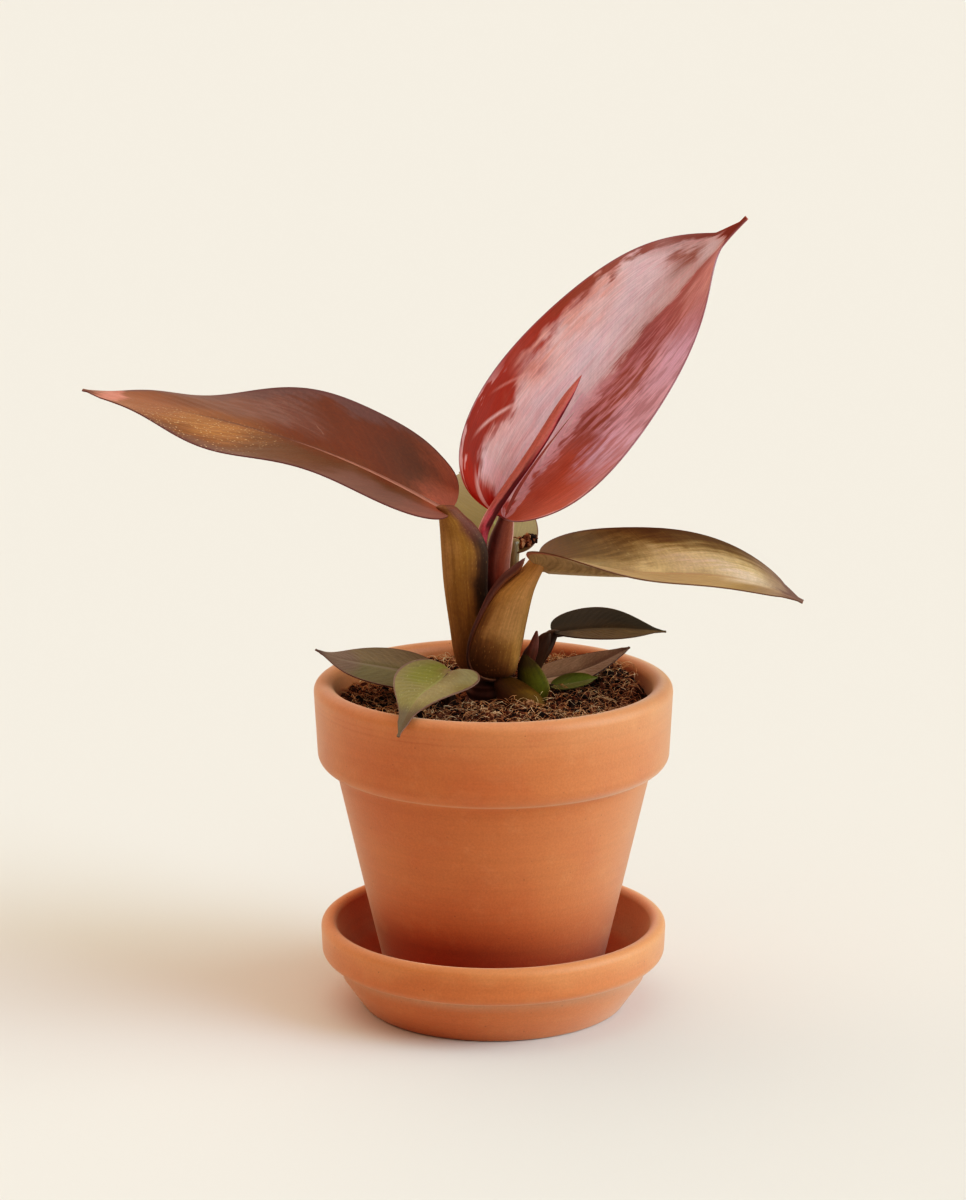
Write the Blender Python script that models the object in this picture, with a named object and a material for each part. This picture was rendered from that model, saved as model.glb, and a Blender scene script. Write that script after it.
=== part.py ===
"""A young philodendron in a standard terracotta pot with its saucer.

The plant has a short stem that stands in the soil, four grown leaves on sheathed stalks, one rolled
new leaf, five small leaves near the soil and three bracts. The frame has +Z up, X to the right and Y
away from the front. Its origin is the centre of the saucer's flat underside. Sizes are written in
millimetres and scaled to metres where a mesh is made.
"""

import math
import random
from dataclasses import dataclass

import bmesh
import bpy
import numpy as np
from mathutils import Vector

MM = 0.001
GAP = 0.3
TURNED_STEPS = 48
SHARP_ANGLE = 40.0
MERGE_DISTANCE = 0.01
UP = np.array([0.0, 0.0, 1.0])

# Terracotta saucer, which stands on the table
SAUCER_HEIGHT = 27.8
SAUCER_RIM_RADIUS = 55.4
SAUCER_BAND_RADIUS = 55.1
SAUCER_BAND_BOTTOM = 15.6
SAUCER_BAND_ROUNDING = 3.0
SAUCER_BODY_RADIUS = 50.4
SAUCER_FOOT_RADIUS = 42.9
SAUCER_FOOT_ROUNDING = 2.0
SAUCER_LIP = 2.5
SAUCER_FLOOR = 5.0
SAUCER_FLOOR_RADIUS = 39.0
SAUCER_HOLLOW_ROUNDING = 4.0
SAUCER_WALL = 2.4
SAUCER_BAND_STEP = 0.6
SAUCER_BODY_BEND = (48.6, 9.5)

# Terracotta pot, which stands on the saucer's floor
POT_FOOT_Z = SAUCER_FLOOR + GAP
POT_TOP_Z = 106.4
POT_RIM_RADIUS = 57.0
POT_BAND_RADIUS = 56.0
POT_BAND_BOTTOM = 74.4
POT_BAND_ROUNDING = 6.0
POT_BAND_STEP = 0.4
POT_BODY_TOP_RADIUS = 49.0
POT_BODY_MIDDLE = (41.8, 41.0)
POT_FOOT_RADIUS = 34.0
POT_FOOT_ROUNDING = 2.0
POT_LIP = 3.3
POT_FLOOR_Z = POT_FOOT_Z + 6.0
POT_DRAIN_RADIUS = 6.0
POT_INNER_FLOOR_RADIUS = 28.6
POT_INNER_STEP = (46.8, 80.0)

# Potting soil, which fills the pot to about a finger's width below the rim
SOIL_LEVEL = 98.4
SOIL_EDGE_LEVEL = 97.4
SOIL_RING_STEP = 5.6
SOIL_MOUNDS = ((36, 27, 4.0, 13), (24, -3, 4.0, 6), (-30, 18, 1.6, 12), (-20, -25, 1.2, 10))
SOIL_LUMPS = 46
SOIL_LUMP_SEED = 7
SOIL_LUMP_SPREAD = 46.0
SOIL_LUMP_RISE = (-1.3, 1.5)
SOIL_LUMP_REACH = (3.5, 7.0)
HOLE_SIDES = 24
HOLE_CUTTER_HEIGHT = 60.0

# Stem, of which only the top shows above the soil
STEM_BOTTOM = 84.0
STEM_TOP = 107.4
STEM_RADIUS = 9.4
STEM_KNOB = 0.35
STEM_KNOB_PITCH = 5.7
STEM_RINGS = 8
STEM_SIDES = 24

# Leaves
BLADE_THICKNESS = 0.7
RIB_THICKNESS = 1.2
TIP_BLUNTNESS = 0.25
LARGE_ROWS = 20
LARGE_COLUMNS = 8
SMALL_ROWS = 10
SMALL_COLUMNS = 6
STALK_SIDES = 12
TUBE_SIDES = 8
BRACT_FLATNESS = 0.6
RIB_SHARE = 0.45
RIB_FADE = 0.6
ROW_EVENNESS = 0.4
STEPS_BETWEEN_STATIONS = 2


@dataclass(frozen=True)
class Finish:
    """A plain surface: its colour and how it shines."""

    name: str
    colour: tuple[float, float, float]
    roughness: float = 0.5
    metallic: float = 0.0


@dataclass(frozen=True)
class Blade:
    """The numbers that shape one leaf blade, in millimetres and degrees.

    The midrib is a Bezier curve from the blade's base to its tip. Every pair runs from the base to
    the tip: roll turns the blade about its midrib, fold lifts both halves from flat, and sweep leans
    the margins back behind the midrib (positive) or ahead of it (negative). The outline swells as
    the power of the distance from the base, narrows as the power of the distance from the end of
    the body, and runs out into a blunt drip tip. Each wave is its height, its waves along the blade and
    its phase in turns.
    """

    midrib: tuple[tuple[float, float, float], ...]
    half_width: float
    base_power: float
    tip_power: float
    body_end: float
    drip_width: float
    roll: tuple[float, float]
    fold: tuple[float, float]
    sweep: tuple[float, float]
    left_wave: tuple[float, float, float] = (0.0, 1.0, 0.0)
    right_wave: tuple[float, float, float] = (0.0, 1.0, 0.0)


LEFT_BLADE = Blade(
    midrib=((-13.5, -4, 161), (-44, 0, 178), (-65, -5, 187.5), (-92, -3, 192), (-128, 0, 199.5)),
    half_width=26, base_power=0.48, tip_power=1.1, body_end=0.955, drip_width=2.6,
    roll=(24, 4), fold=(18, -8), sweep=(4, -50),
    left_wave=(2.4, 1.6, -0.16), right_wave=(2.4, 1.75, 0.71))
NEW_BLADE = Blade(
    midrib=((3.5, 2.3, 158), (7.5, 1.3, 173.5), (34.5, 9, 201.5), (57.5, 14, 229.5), (78, 2, 252.5)),
    half_width=29.5, base_power=0.44, tip_power=1.06, body_end=0.92, drip_width=3.0,
    roll=(-65, -49), fold=(34, 31), sweep=(-8, -50),
    left_wave=(2.2, 1.24, 0.36), right_wave=(2.4, 1.31, -1.0))
RIGHT_BLADE = Blade(
    midrib=((14.7, -6.5, 144), (43, -13.5, 143.5), (60.5, -11.5, 142), (72, -11, 147), (96.5, -13, 134.5)),
    half_width=21, base_power=0.3, tip_power=0.64, body_end=0.93, drip_width=3.0,
    roll=(9.5, -34.5), fold=(27, 16.5), sweep=(20, 50))
BACK_BLADE = Blade(
    midrib=((5.5, 12.5, 144.5), (-0.5, 34, 152), (-5, 60, 158), (-11, 84, 157)),
    half_width=14.5, base_power=0.42, tip_power=1.0, body_end=0.93, drip_width=1.8,
    roll=(0, 4), fold=(14, 8), sweep=(18, -35))
UPPER_SMALL_BLADE = Blade(
    midrib=((19, 5, 120.5), (29.3, 7.5, 121), (37, 3.5, 123), (55, 8, 120)),
    half_width=10.5, base_power=0.46, tip_power=1.07, body_end=0.93, drip_width=1.1,
    roll=(-7, -32), fold=(13, 11), sweep=(10, -32))
LOWER_SMALL_BLADE = Blade(
    midrib=((15.5, 12.2, 104.3), (28.5, 12.2, 105.3), (33.5, 9, 108.8), (43.5, 10.5, 114.3)),
    half_width=6.6, base_power=0.46, tip_power=1.03, body_end=0.93, drip_width=1.4,
    roll=(-26, -29), fold=(5, 18), sweep=(6, -24))
DARK_SMALL_BLADE = Blade(
    midrib=((-17, -5.5, 108.2), (-43.5, -4.7, 114), (-46.7, -5, 112.5), (-56, -5, 117.5)),
    half_width=10.1, base_power=0.34, tip_power=1.22, body_end=0.93, drip_width=1.3,
    roll=(26, 5), fold=(4, -8), sweep=(-6, -28))
HEART_BLADE = Blade(
    midrib=((-13.5, -20, 114.4), (-20.5, -31, 109.5), (-24, -43, 115.5), (-29, -57, 103)),
    half_width=13, base_power=0.47, tip_power=1.45, body_end=0.9, drip_width=1.8,
    roll=(6.5, 3), fold=(10, 4), sweep=(24, -19))
OVAL_SMALL_BLADE = Blade(
    midrib=((18, -2.4, 105.1), (21.5, -2.9, 105.7), (25, -3.9, 106.4), (33, -1.6, 107.5)),
    half_width=3.7, base_power=0.6, tip_power=0.82, body_end=0.92, drip_width=1.1,
    roll=(-24, -24), fold=(4, 12), sweep=(6, -26))

# Stations of the stalks: x, y, z, half the width and half the depth, from the bottom up
STALK_FOOT_Z = STEM_TOP + GAP
RIGHT_STALK = ((0, -5.2, STALK_FOOT_Z, 5.6, 2.2), (-0.7, -8.6, 112.5, 7.8, 3.1), (0.5, -10, 119, 8.4, 3.2),
               (2.6, -10.2, 127.5, 7.8, 3.2), (6.4, -9.6, 137, 6.2, 3.2), (12.2, -7.6, 144, 3.4, 3.0),
               (15.2, -6.6, 148, 3.0, 2.8))
LEFT_STALK = ((-5, -0.2, STALK_FOOT_Z, 3.5, 2.0), (-7.2, -1.6, 113, 4.3, 2.1), (-9.1, -3, 125, 5.3, 2.2),
              (-9.2, -3.9, 138, 7.2, 2.2), (-10.8, -4.1, 149, 7.0, 2.3), (-13.4, -4.1, 156.5, 5.2, 2.5),
              (-15.4, -4.1, 161, 3.6, 2.8), (-16, -4.1, 165, 3.2, 2.8))
NEW_STALK = ((3.6, -0.1, STALK_FOOT_Z, 3.3, 2.0), (3.2, 1.4, 120, 3.6, 2.3), (1.6, 4.2, 140, 3.5, 2.5),
             (2.9, 4.6, 150, 3.2, 2.3), (4.0, 4.3, 157.5, 2.6, 1.9), (4.6, 4.2, 160, 2.6, 1.8))
BACK_STALK = ((3.2, 5.2, STALK_FOOT_Z, 3.1, 2.2), (3.4, 7.2, 116, 3.2, 2.4), (4.4, 10.6, 130, 2.8, 2.4),
              (5.6, 13.2, 141, 2.5, 2.2), (6.2, 15.2, 149, 2.3, 2.2))
ROLLED_LEAF = ((-3.2, 4.5, STALK_FOOT_Z, 1.5, 1.2), (-3.4, 2.2, 130, 1.6, 1.2), (-3.4, -0.4, 150, 1.3, 1.2),
               (-1.4, -1.6, 158, 2.0, 1.4), (3.6, -3.0, 167, 2.3, 1.5), (13.3, -4.4, 181.5, 2.4, 1.5),
               (22.2, -4.6, 196.5, 1.9, 1.1), (27.3, -4.4, 204.8, 0.2, 0.2))
BROWN_BRACT = ((8.35, 0.4, STALK_FOOT_Z, 0.8, 1.8), (9.4, 0.2, 113, 1.3, 1.9), (11.0, 0.0, 118.5, 1.3, 1.4),
               (12.2, 0.0, 123, 0.2, 0.3))

# Paths of the small stalks and bracts: x, y, z and radius, from where each one starts
UPPER_SMALL_STALK = ((13.4, 6.2, 92, 1.6), (13.0, 6.2, 104, 1.6), (14.6, 5.6, 113, 1.6),
                     (19.6, 5.4, 119.6, 1.1))
LOWER_SMALL_STALK = ((12.2, 14.0, 92, 1.4), (12.4, 13.8, 99, 1.4), (13.9, 13.0, 102.9, 1.2),
                     (17.2, 12.3, 104.0, 0.8))
DARK_SMALL_STALK = ((-13.6, -3.4, 92, 1.5), (-13.8, -3.6, 100, 1.5), (-14.8, -4.6, 105, 1.4),
                    (-19.0, -5.4, 108.2, 1.0))
HEART_STALK = ((-8.6, -13.6, 92, 1.6), (-9.0, -14.0, 102, 1.6), (-10.8, -16.4, 110.5, 1.5),
               (-14.4, -21.2, 113.4, 1.0))
OVAL_SMALL_STALK = ((16.4, 0.8, 94, 1.0), (16.5, 0.6, 100, 1.0), (17.0, -0.8, 103.6, 0.9),
                    (19.4, -2.4, 104.9, 0.6))
GREEN_BRACT = ((10.7, -2.4, 101.5, 1.6), (10.8, -2.6, 106.6, 1.9), (12.5, -3.1, 109.4, 2.0),
               (14.6, -3.3, 107.6, 2.0), (15.7, -3.4, 103.8, 1.3))
OLIVE_BRACT = ((6.4, -9.0, 101.5, 1.4), (6.6, -9.4, 105.6, 1.6), (8.2, -10.5, 107.6, 1.7),
               (10.8, -11.5, 105.8, 1.7), (12.6, -12.0, 102.2, 1.2))

TERRACOTTA = Finish("terracotta", (0.60, 0.24, 0.10), 0.85)
SAUCER_CLAY = Finish("saucer clay", (0.55, 0.20, 0.08), 0.85)
SOIL = Finish("potting soil", (0.045, 0.020, 0.012), 0.95)
STEM_SKIN = Finish("dark stem", (0.06, 0.012, 0.012), 0.45)
BRONZE_LEAF = Finish("bronze leaf", (0.22, 0.085, 0.035), 0.35)
OLIVE_LEAF = Finish("olive bronze leaf", (0.22, 0.115, 0.030), 0.35)
RED_LEAF = Finish("red leaf", (0.36, 0.030, 0.018), 0.28)
GREEN_LEAF = Finish("green leaf", (0.20, 0.23, 0.05), 0.4)
GREY_LEAF = Finish("grey brown leaf", (0.10, 0.075, 0.055), 0.45)
OLIVE_STALK = Finish("olive stalk", (0.22, 0.11, 0.025), 0.4)
RED_STALK = Finish("red stalk", (0.14, 0.018, 0.012), 0.35)


def clear_scene():
    """Remove the objects that the scene starts with."""
    for old in list(bpy.data.objects):
        bpy.data.objects.remove(old, do_unlink=True)


def material_for(finish):
    """Return the finish's material, made on its first use."""
    material = bpy.data.materials.get(finish.name)
    if material is None:
        material = bpy.data.materials.new(finish.name)
        material.use_nodes = True
        material.diffuse_color = (*finish.colour, 1.0)
        shader = material.node_tree.nodes["Principled BSDF"]
        shader.inputs["Base Color"].default_value = (*finish.colour, 1.0)
        shader.inputs["Roughness"].default_value = finish.roughness
        shader.inputs["Metallic"].default_value = finish.metallic
    return material


def add_object(name, shape, finish, parent=None):
    """Turn a bmesh into a smooth object with its material, under its parent."""
    mesh = bpy.data.meshes.new(name)
    shape.to_mesh(mesh)
    shape.free()
    mesh.materials.append(material_for(finish))
    mesh.shade_smooth()
    mesh.set_sharp_from_angle(angle=math.radians(SHARP_ANGLE))
    piece = bpy.data.objects.new(name, mesh)
    bpy.context.collection.objects.link(piece)
    piece.parent = parent
    return piece


def hide_as_cutter(piece):
    """Keep a helper solid out of the model."""
    piece.hide_render = True
    piece.display_type = "WIRE"


def arc(centre, radius, start, end, steps):
    """Points of an arc in the (radius, height) plane, by its start and end angles in degrees."""
    angles = [math.radians(start + (end - start) * i / steps) for i in range(steps + 1)]
    return [(centre[0] + radius * math.cos(a), centre[1] + radius * math.sin(a)) for a in angles]


def turned_object(name, profile, finish, closed, parent):
    """Turn a (radius, height) profile, which runs down its outer side, about the Z axis."""
    shape = bmesh.new()
    points = [shape.verts.new(Vector((r, 0.0, z)) * MM) for r, z in profile]
    for a, b in zip(points, points[1:]):
        shape.edges.new((a, b))
    if closed:
        shape.edges.new((points[-1], points[0]))
    piece = add_object(name, shape, finish, parent)
    turn = piece.modifiers.new("turn", "SCREW")
    turn.axis = "Z"
    turn.steps = TURNED_STEPS
    turn.render_steps = TURNED_STEPS
    turn.use_merge_vertices = True
    turn.merge_threshold = MERGE_DISTANCE * MM
    return piece


def saucer_profile():
    """The saucer's section, from its floor over the crest and down its outside to the table."""
    crest = (SAUCER_RIM_RADIUS - SAUCER_LIP, SAUCER_HEIGHT - SAUCER_LIP)
    band = (SAUCER_BAND_RADIUS - SAUCER_BAND_ROUNDING, SAUCER_BAND_BOTTOM + SAUCER_BAND_ROUNDING)
    foot = (SAUCER_FOOT_RADIUS - SAUCER_FOOT_ROUNDING, SAUCER_FOOT_ROUNDING)
    hollow = (SAUCER_FLOOR_RADIUS, SAUCER_FLOOR + SAUCER_HOLLOW_ROUNDING)
    profile = [(0.0, SAUCER_FLOOR)]
    profile += arc(hollow, SAUCER_HOLLOW_ROUNDING, -90, -20, 3)
    profile += [(SAUCER_BODY_RADIUS - SAUCER_WALL, SAUCER_BAND_BOTTOM)]
    profile += arc(crest, SAUCER_LIP, 180, 0, 6)
    profile += arc(band, SAUCER_BAND_ROUNDING, 0, -90, 3)
    profile += [(SAUCER_BODY_RADIUS, SAUCER_BAND_BOTTOM - SAUCER_BAND_STEP), SAUCER_BODY_BEND]
    profile += arc(foot, SAUCER_FOOT_ROUNDING, -25, -90, 2)
    profile += [(0.0, 0.0)]
    return profile


def pot_inner_radius(z):
    """The inner wall's radius at a height above the pot's floor."""
    step_radius, step_z = POT_INNER_STEP
    heights = [POT_FLOOR_Z, step_z, POT_TOP_Z - POT_LIP]
    radii = [POT_INNER_FLOOR_RADIUS, step_radius, POT_RIM_RADIUS - 2 * POT_LIP]
    return float(np.interp(z, heights, radii))


def pot_profile():
    """The pot's section, from the crest down its outside, through the floor and up its inside."""
    crest = (POT_RIM_RADIUS - POT_LIP, POT_TOP_Z - POT_LIP)
    band = (POT_BAND_RADIUS - POT_BAND_ROUNDING, POT_BAND_BOTTOM + POT_BAND_ROUNDING)
    foot = (POT_FOOT_RADIUS - POT_FOOT_ROUNDING, POT_FOOT_Z + POT_FOOT_ROUNDING)
    profile = arc(crest, POT_LIP, 90, -5, 4)
    profile += arc(band, POT_BAND_ROUNDING, 0, -70, 3)
    profile += [(POT_BODY_TOP_RADIUS, POT_BAND_BOTTOM - POT_BAND_STEP), POT_BODY_MIDDLE]
    profile += arc(foot, POT_FOOT_ROUNDING, -15, -90, 2)
    profile += [(POT_DRAIN_RADIUS, POT_FOOT_Z), (POT_DRAIN_RADIUS, POT_FLOOR_Z)]
    profile += [(pot_inner_radius(z), z) for z in (POT_FLOOR_Z, POT_INNER_STEP[1], POT_TOP_Z - POT_LIP)]
    profile += arc(crest, POT_LIP, 180, 90, 4)[1:-1]
    return profile


def soil_lumps():
    """The soil's seeded lumps, each as x, y, height and reach."""
    draw = random.Random(SOIL_LUMP_SEED)
    lumps = list(SOIL_MOUNDS)
    for _ in range(SOIL_LUMPS):
        angle = draw.uniform(0, math.tau)
        distance = SOIL_LUMP_SPREAD * math.sqrt(draw.random())
        place = (distance * math.cos(angle), distance * math.sin(angle))
        lumps.append((*place, draw.uniform(*SOIL_LUMP_RISE), draw.uniform(*SOIL_LUMP_REACH)))
    return lumps


def soil_height(x, y, lumps):
    """The height of the soil's top at a place."""
    raised = sum(h * math.exp(-((x - cx) ** 2 + (y - cy) ** 2) / reach ** 2) for cx, cy, h, reach in lumps)
    edge = pot_inner_radius(SOIL_EDGE_LEVEL) - GAP
    inward = min(1.0, max(0.0, (edge - math.hypot(x, y)) / SOIL_RING_STEP))
    return SOIL_EDGE_LEVEL + (SOIL_LEVEL - SOIL_EDGE_LEVEL + raised) * inward


def soil_object(parent):
    """Spin the soil's section and raise its top into lumps."""
    edge = pot_inner_radius(SOIL_EDGE_LEVEL) - GAP
    bottom = POT_FLOOR_Z + GAP
    radii = np.linspace(0, edge, round(edge / SOIL_RING_STEP) + 1)
    top = [(float(r), SOIL_LEVEL) for r in radii]
    side = [(pot_inner_radius(z) - GAP, z) for z in (POT_INNER_STEP[1], bottom)]
    shape = bmesh.new()
    points = [shape.verts.new((r, 0.0, z)) for r, z in top + side + [(0.0, bottom)]]
    section = [shape.edges.new(pair) for pair in zip(points, points[1:])]
    bmesh.ops.spin(shape, geom=points + section, cent=(0, 0, 0), axis=(0, 0, 1), angle=math.tau,
                   steps=TURNED_STEPS, use_merge=True)
    bmesh.ops.remove_doubles(shape, verts=shape.verts, dist=MERGE_DISTANCE)
    lumps = soil_lumps()
    for vertex in shape.verts:
        if vertex.co.z > SOIL_LEVEL - GAP:
            vertex.co.z = soil_height(vertex.co.x, vertex.co.y, lumps)
    bmesh.ops.triangulate(shape, faces=shape.faces)
    bmesh.ops.recalc_face_normals(shape, faces=shape.faces)
    bmesh.ops.scale(shape, vec=(MM, MM, MM), verts=shape.verts)
    return add_object("soil", shape, SOIL, parent)


def cut_hole(body, centre, bottom, radius):
    """Cut a plain round hole down into the soil."""
    shape = bmesh.new()
    height = HOLE_CUTTER_HEIGHT * MM
    bmesh.ops.create_cone(shape, cap_ends=True, segments=HOLE_SIDES, radius1=radius * MM, radius2=radius * MM,
                          depth=height)
    cutter = add_object("hole cutter", shape, SOIL)
    hide_as_cutter(cutter)
    cutter.location = (centre[0] * MM, centre[1] * MM, bottom * MM + height / 2)
    cut = body.modifiers.new("hole", "BOOLEAN")
    cut.operation = "DIFFERENCE"
    cut.object = cutter


def smooth_rows(rows, steps=STEPS_BETWEEN_STATIONS):
    """Points of a smooth curve through the rows, with so many steps between two of them."""
    rows = [np.array(row, dtype=float) for row in rows]
    padded = [2 * rows[0] - rows[1], *rows, 2 * rows[-1] - rows[-2]]
    result = []
    for a, b, c, d in zip(padded, padded[1:], padded[2:], padded[3:]):
        for i in range(steps):
            t = i / steps
            result.append(0.5 * (2 * b + (c - a) * t + (2 * a - 5 * b + 4 * c - d) * t ** 2
                                 + (3 * b - a - 3 * c + d) * t ** 3))
    result.append(rows[-1])
    return result


def level_ring(row, sides):
    """A level oval round a stalk's station."""
    x, y, z, half_width, half_depth = row
    angles = [math.tau * i / sides for i in range(sides)]
    return [(x + half_width * math.cos(a), y + half_depth * math.sin(a), z) for a in angles]


def square_ring(centre, direction, radius, flatness):
    """A ring square to a direction, flattened in the plane in which its path bends."""
    direction = direction / np.linalg.norm(direction)
    side = np.cross(direction, [0.0, 1.0, 0.0])
    side /= np.linalg.norm(side)
    rise = np.cross(side, direction)
    angles = [math.tau * i / TUBE_SIDES for i in range(TUBE_SIDES)]
    return [centre + radius * (flatness * side * math.cos(a) + rise * math.sin(a)) for a in angles]


def loft(rings):
    """Bridge closed rings into one capped body."""
    shape = bmesh.new()
    loops = []
    for ring in rings:
        corners = [shape.verts.new(Vector(point) * MM) for point in ring]
        loops.append([shape.edges.new((a, b)) for a, b in zip(corners, corners[1:] + corners[:1])])
    for lower, upper in zip(loops, loops[1:]):
        bmesh.ops.bridge_loops(shape, edges=lower + upper)
    bmesh.ops.contextual_create(shape, geom=loops[0])
    bmesh.ops.contextual_create(shape, geom=loops[-1])
    bmesh.ops.triangulate(shape, faces=shape.faces)
    bmesh.ops.recalc_face_normals(shape, faces=shape.faces)
    return shape


def stalk_object(name, rows, finish, parent, cut_plane=None):
    """Loft a stalk through its stations and cut its top off below its blade."""
    shape = loft([level_ring(row, STALK_SIDES) for row in smooth_rows(rows)])
    if cut_plane is not None:
        point, normal = cut_plane
        bmesh.ops.bisect_plane(shape, geom=[*shape.verts, *shape.edges, *shape.faces], dist=1e-7,
                               plane_co=Vector(point) * MM, plane_no=Vector(normal), clear_outer=True)
        rim = [edge for edge in shape.edges if edge.is_boundary]
        bmesh.ops.contextual_create(shape, geom=rim)
        bmesh.ops.triangulate(shape, faces=shape.faces)
        bmesh.ops.recalc_face_normals(shape, faces=shape.faces)
    return add_object(name, shape, finish, parent)


def tube_shape(path, flatness=1.0):
    """A tube along a path of x, y, z and radius."""
    rows = smooth_rows(path)
    centres = [row[:3] for row in rows]
    ahead = centres[1:] + [2 * centres[-1] - centres[-2]]
    behind = [2 * centres[0] - centres[1]] + centres[:-1]
    rings = [square_ring(row[:3], b - a, row[3], flatness) for row, a, b in zip(rows, behind, ahead)]
    return loft(rings)


def bezier(points, t):
    """The point of a Bezier curve, and its direction there."""
    level = [np.array(point, dtype=float) for point in points]
    while len(level) > 2:
        level = [a + (b - a) * t for a, b in zip(level, level[1:])]
    direction = level[1] - level[0]
    return level[0] + direction * t, direction / np.linalg.norm(direction)


def between(pair, t):
    """The value between a base value and a tip value."""
    return pair[0] + (pair[1] - pair[0]) * t


def half_widths(blade, t):
    """Half the width of the blade's body at a station, and of its drip tip."""
    u = min(t / blade.body_end, 1.0)
    a, b = blade.base_power, blade.tip_power
    peak = (a / (a + b)) ** a * (b / (a + b)) ** b
    body = blade.half_width * u ** a * (1 - u) ** b / peak
    drip = blade.drip_width * u ** 2 * min(max((1 - t) / (1 - blade.body_end), TIP_BLUNTNESS), 1.0)
    return body, drip


def blade_frame(blade, t):
    """The blade's point, direction, side and upward normal at a station of its midrib."""
    point, direction = bezier(blade.midrib, t)
    side = np.cross(direction, UP)
    side /= np.linalg.norm(side)
    normal = np.cross(side, direction)
    roll = math.radians(between(blade.roll, t))
    turned_side = side * math.cos(roll) + normal * math.sin(roll)
    turned_normal = normal * math.cos(roll) - side * math.sin(roll)
    return point, direction, turned_side, turned_normal


def blade_point(blade, t, s):
    """The point of the blade's upper face at a station t, and s from the left margin to the right."""
    point, direction, side, normal = blade_frame(blade, t)
    body, drip = half_widths(blade, t)
    width = body + drip
    out = abs(s)
    fold = math.radians(between(blade.fold, t))
    sweep = math.tan(math.radians(between(blade.sweep, t ** 0.6)))
    height, waves, phase = blade.right_wave if s > 0 else blade.left_wave
    wave = height * out ** 2 * math.sin(math.tau * (waves * t + phase)) * math.sin(math.pi * t)
    across = math.copysign(width * out * math.cos(fold), s)
    rise = width * out * math.sin(fold) + wave
    return point + side * across + normal * rise - direction * body * sweep * out ** 1.5


def station(x):
    """The place along the midrib of a row of the grid, with rows closer together near both ends."""
    x = min(max(x, 0.0), 1.0)
    return ROW_EVENNESS * x + (1 - ROW_EVENNESS) * (1 - math.cos(math.pi * x)) / 2


def blade_object(name, blade, rows, columns, finish, parent):
    """Shape a grid into a leaf blade and give it thickness, with a fuller midrib."""
    shape = bmesh.new()
    bmesh.ops.create_grid(shape, x_segments=columns, y_segments=rows, size=1.0)
    fullness = {}
    for vertex in shape.verts:
        s = vertex.co.x
        t = station((vertex.co.y + 1) / 2)
        vertex.co = Vector(blade_point(blade, t, s)) * MM
        fullness[vertex.index] = max(0.0, 1 - abs(s) / RIB_SHARE) * (1 - RIB_FADE * t)
    group_layer = shape.verts.layers.deform.verify()
    for vertex in shape.verts:
        vertex[group_layer][0] = fullness[vertex.index]
    bmesh.ops.remove_doubles(shape, verts=shape.verts, dist=MERGE_DISTANCE * MM)
    bmesh.ops.triangulate(shape, faces=shape.faces)
    piece = add_object(name, shape, finish, parent)
    group = piece.vertex_groups.new(name="rib")
    solid = piece.modifiers.new("thickness", "SOLIDIFY")
    solid.thickness = RIB_THICKNESS * MM
    solid.offset = -1
    solid.use_even_offset = False
    solid.vertex_group = group.name
    solid.thickness_vertex_group = BLADE_THICKNESS / RIB_THICKNESS
    return piece


def below_blade(blade, depth):
    """A plane square to the blade's base, so far under its upper face."""
    point, _, _, normal = blade_frame(blade, 0.0)
    return point - normal * depth, normal


def before_blade(blade, distance):
    """A plane across the start of the blade, so far before it."""
    point, direction, _, _ = blade_frame(blade, 0.0)
    return point - direction * distance, direction


def small_leaf_object(name, blade, path, finish, parent):
    """A small blade joined to its own thin stalk."""
    piece = blade_object(name, blade, SMALL_ROWS, SMALL_COLUMNS, finish, parent)
    stalk = add_object(f"{name} stalk", tube_shape(path), finish)
    hide_as_cutter(stalk)
    join = piece.modifiers.new("stalk", "BOOLEAN")
    join.operation = "UNION"
    join.object = stalk
    return piece


def stem_object(parent):
    """The short stem, a little knobbly where old leaves fell off."""
    rings = []
    for i in range(STEM_RINGS + 1):
        z = STEM_BOTTOM + (STEM_TOP - STEM_BOTTOM) * i / STEM_RINGS
        radius = STEM_RADIUS - STEM_KNOB * (1 + math.cos(math.tau * z / STEM_KNOB_PITCH))
        rings.append(level_ring((0.0, 0.0, z, radius, radius), STEM_SIDES))
    return add_object("stem", loft(rings), STEM_SKIN, parent)


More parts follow.
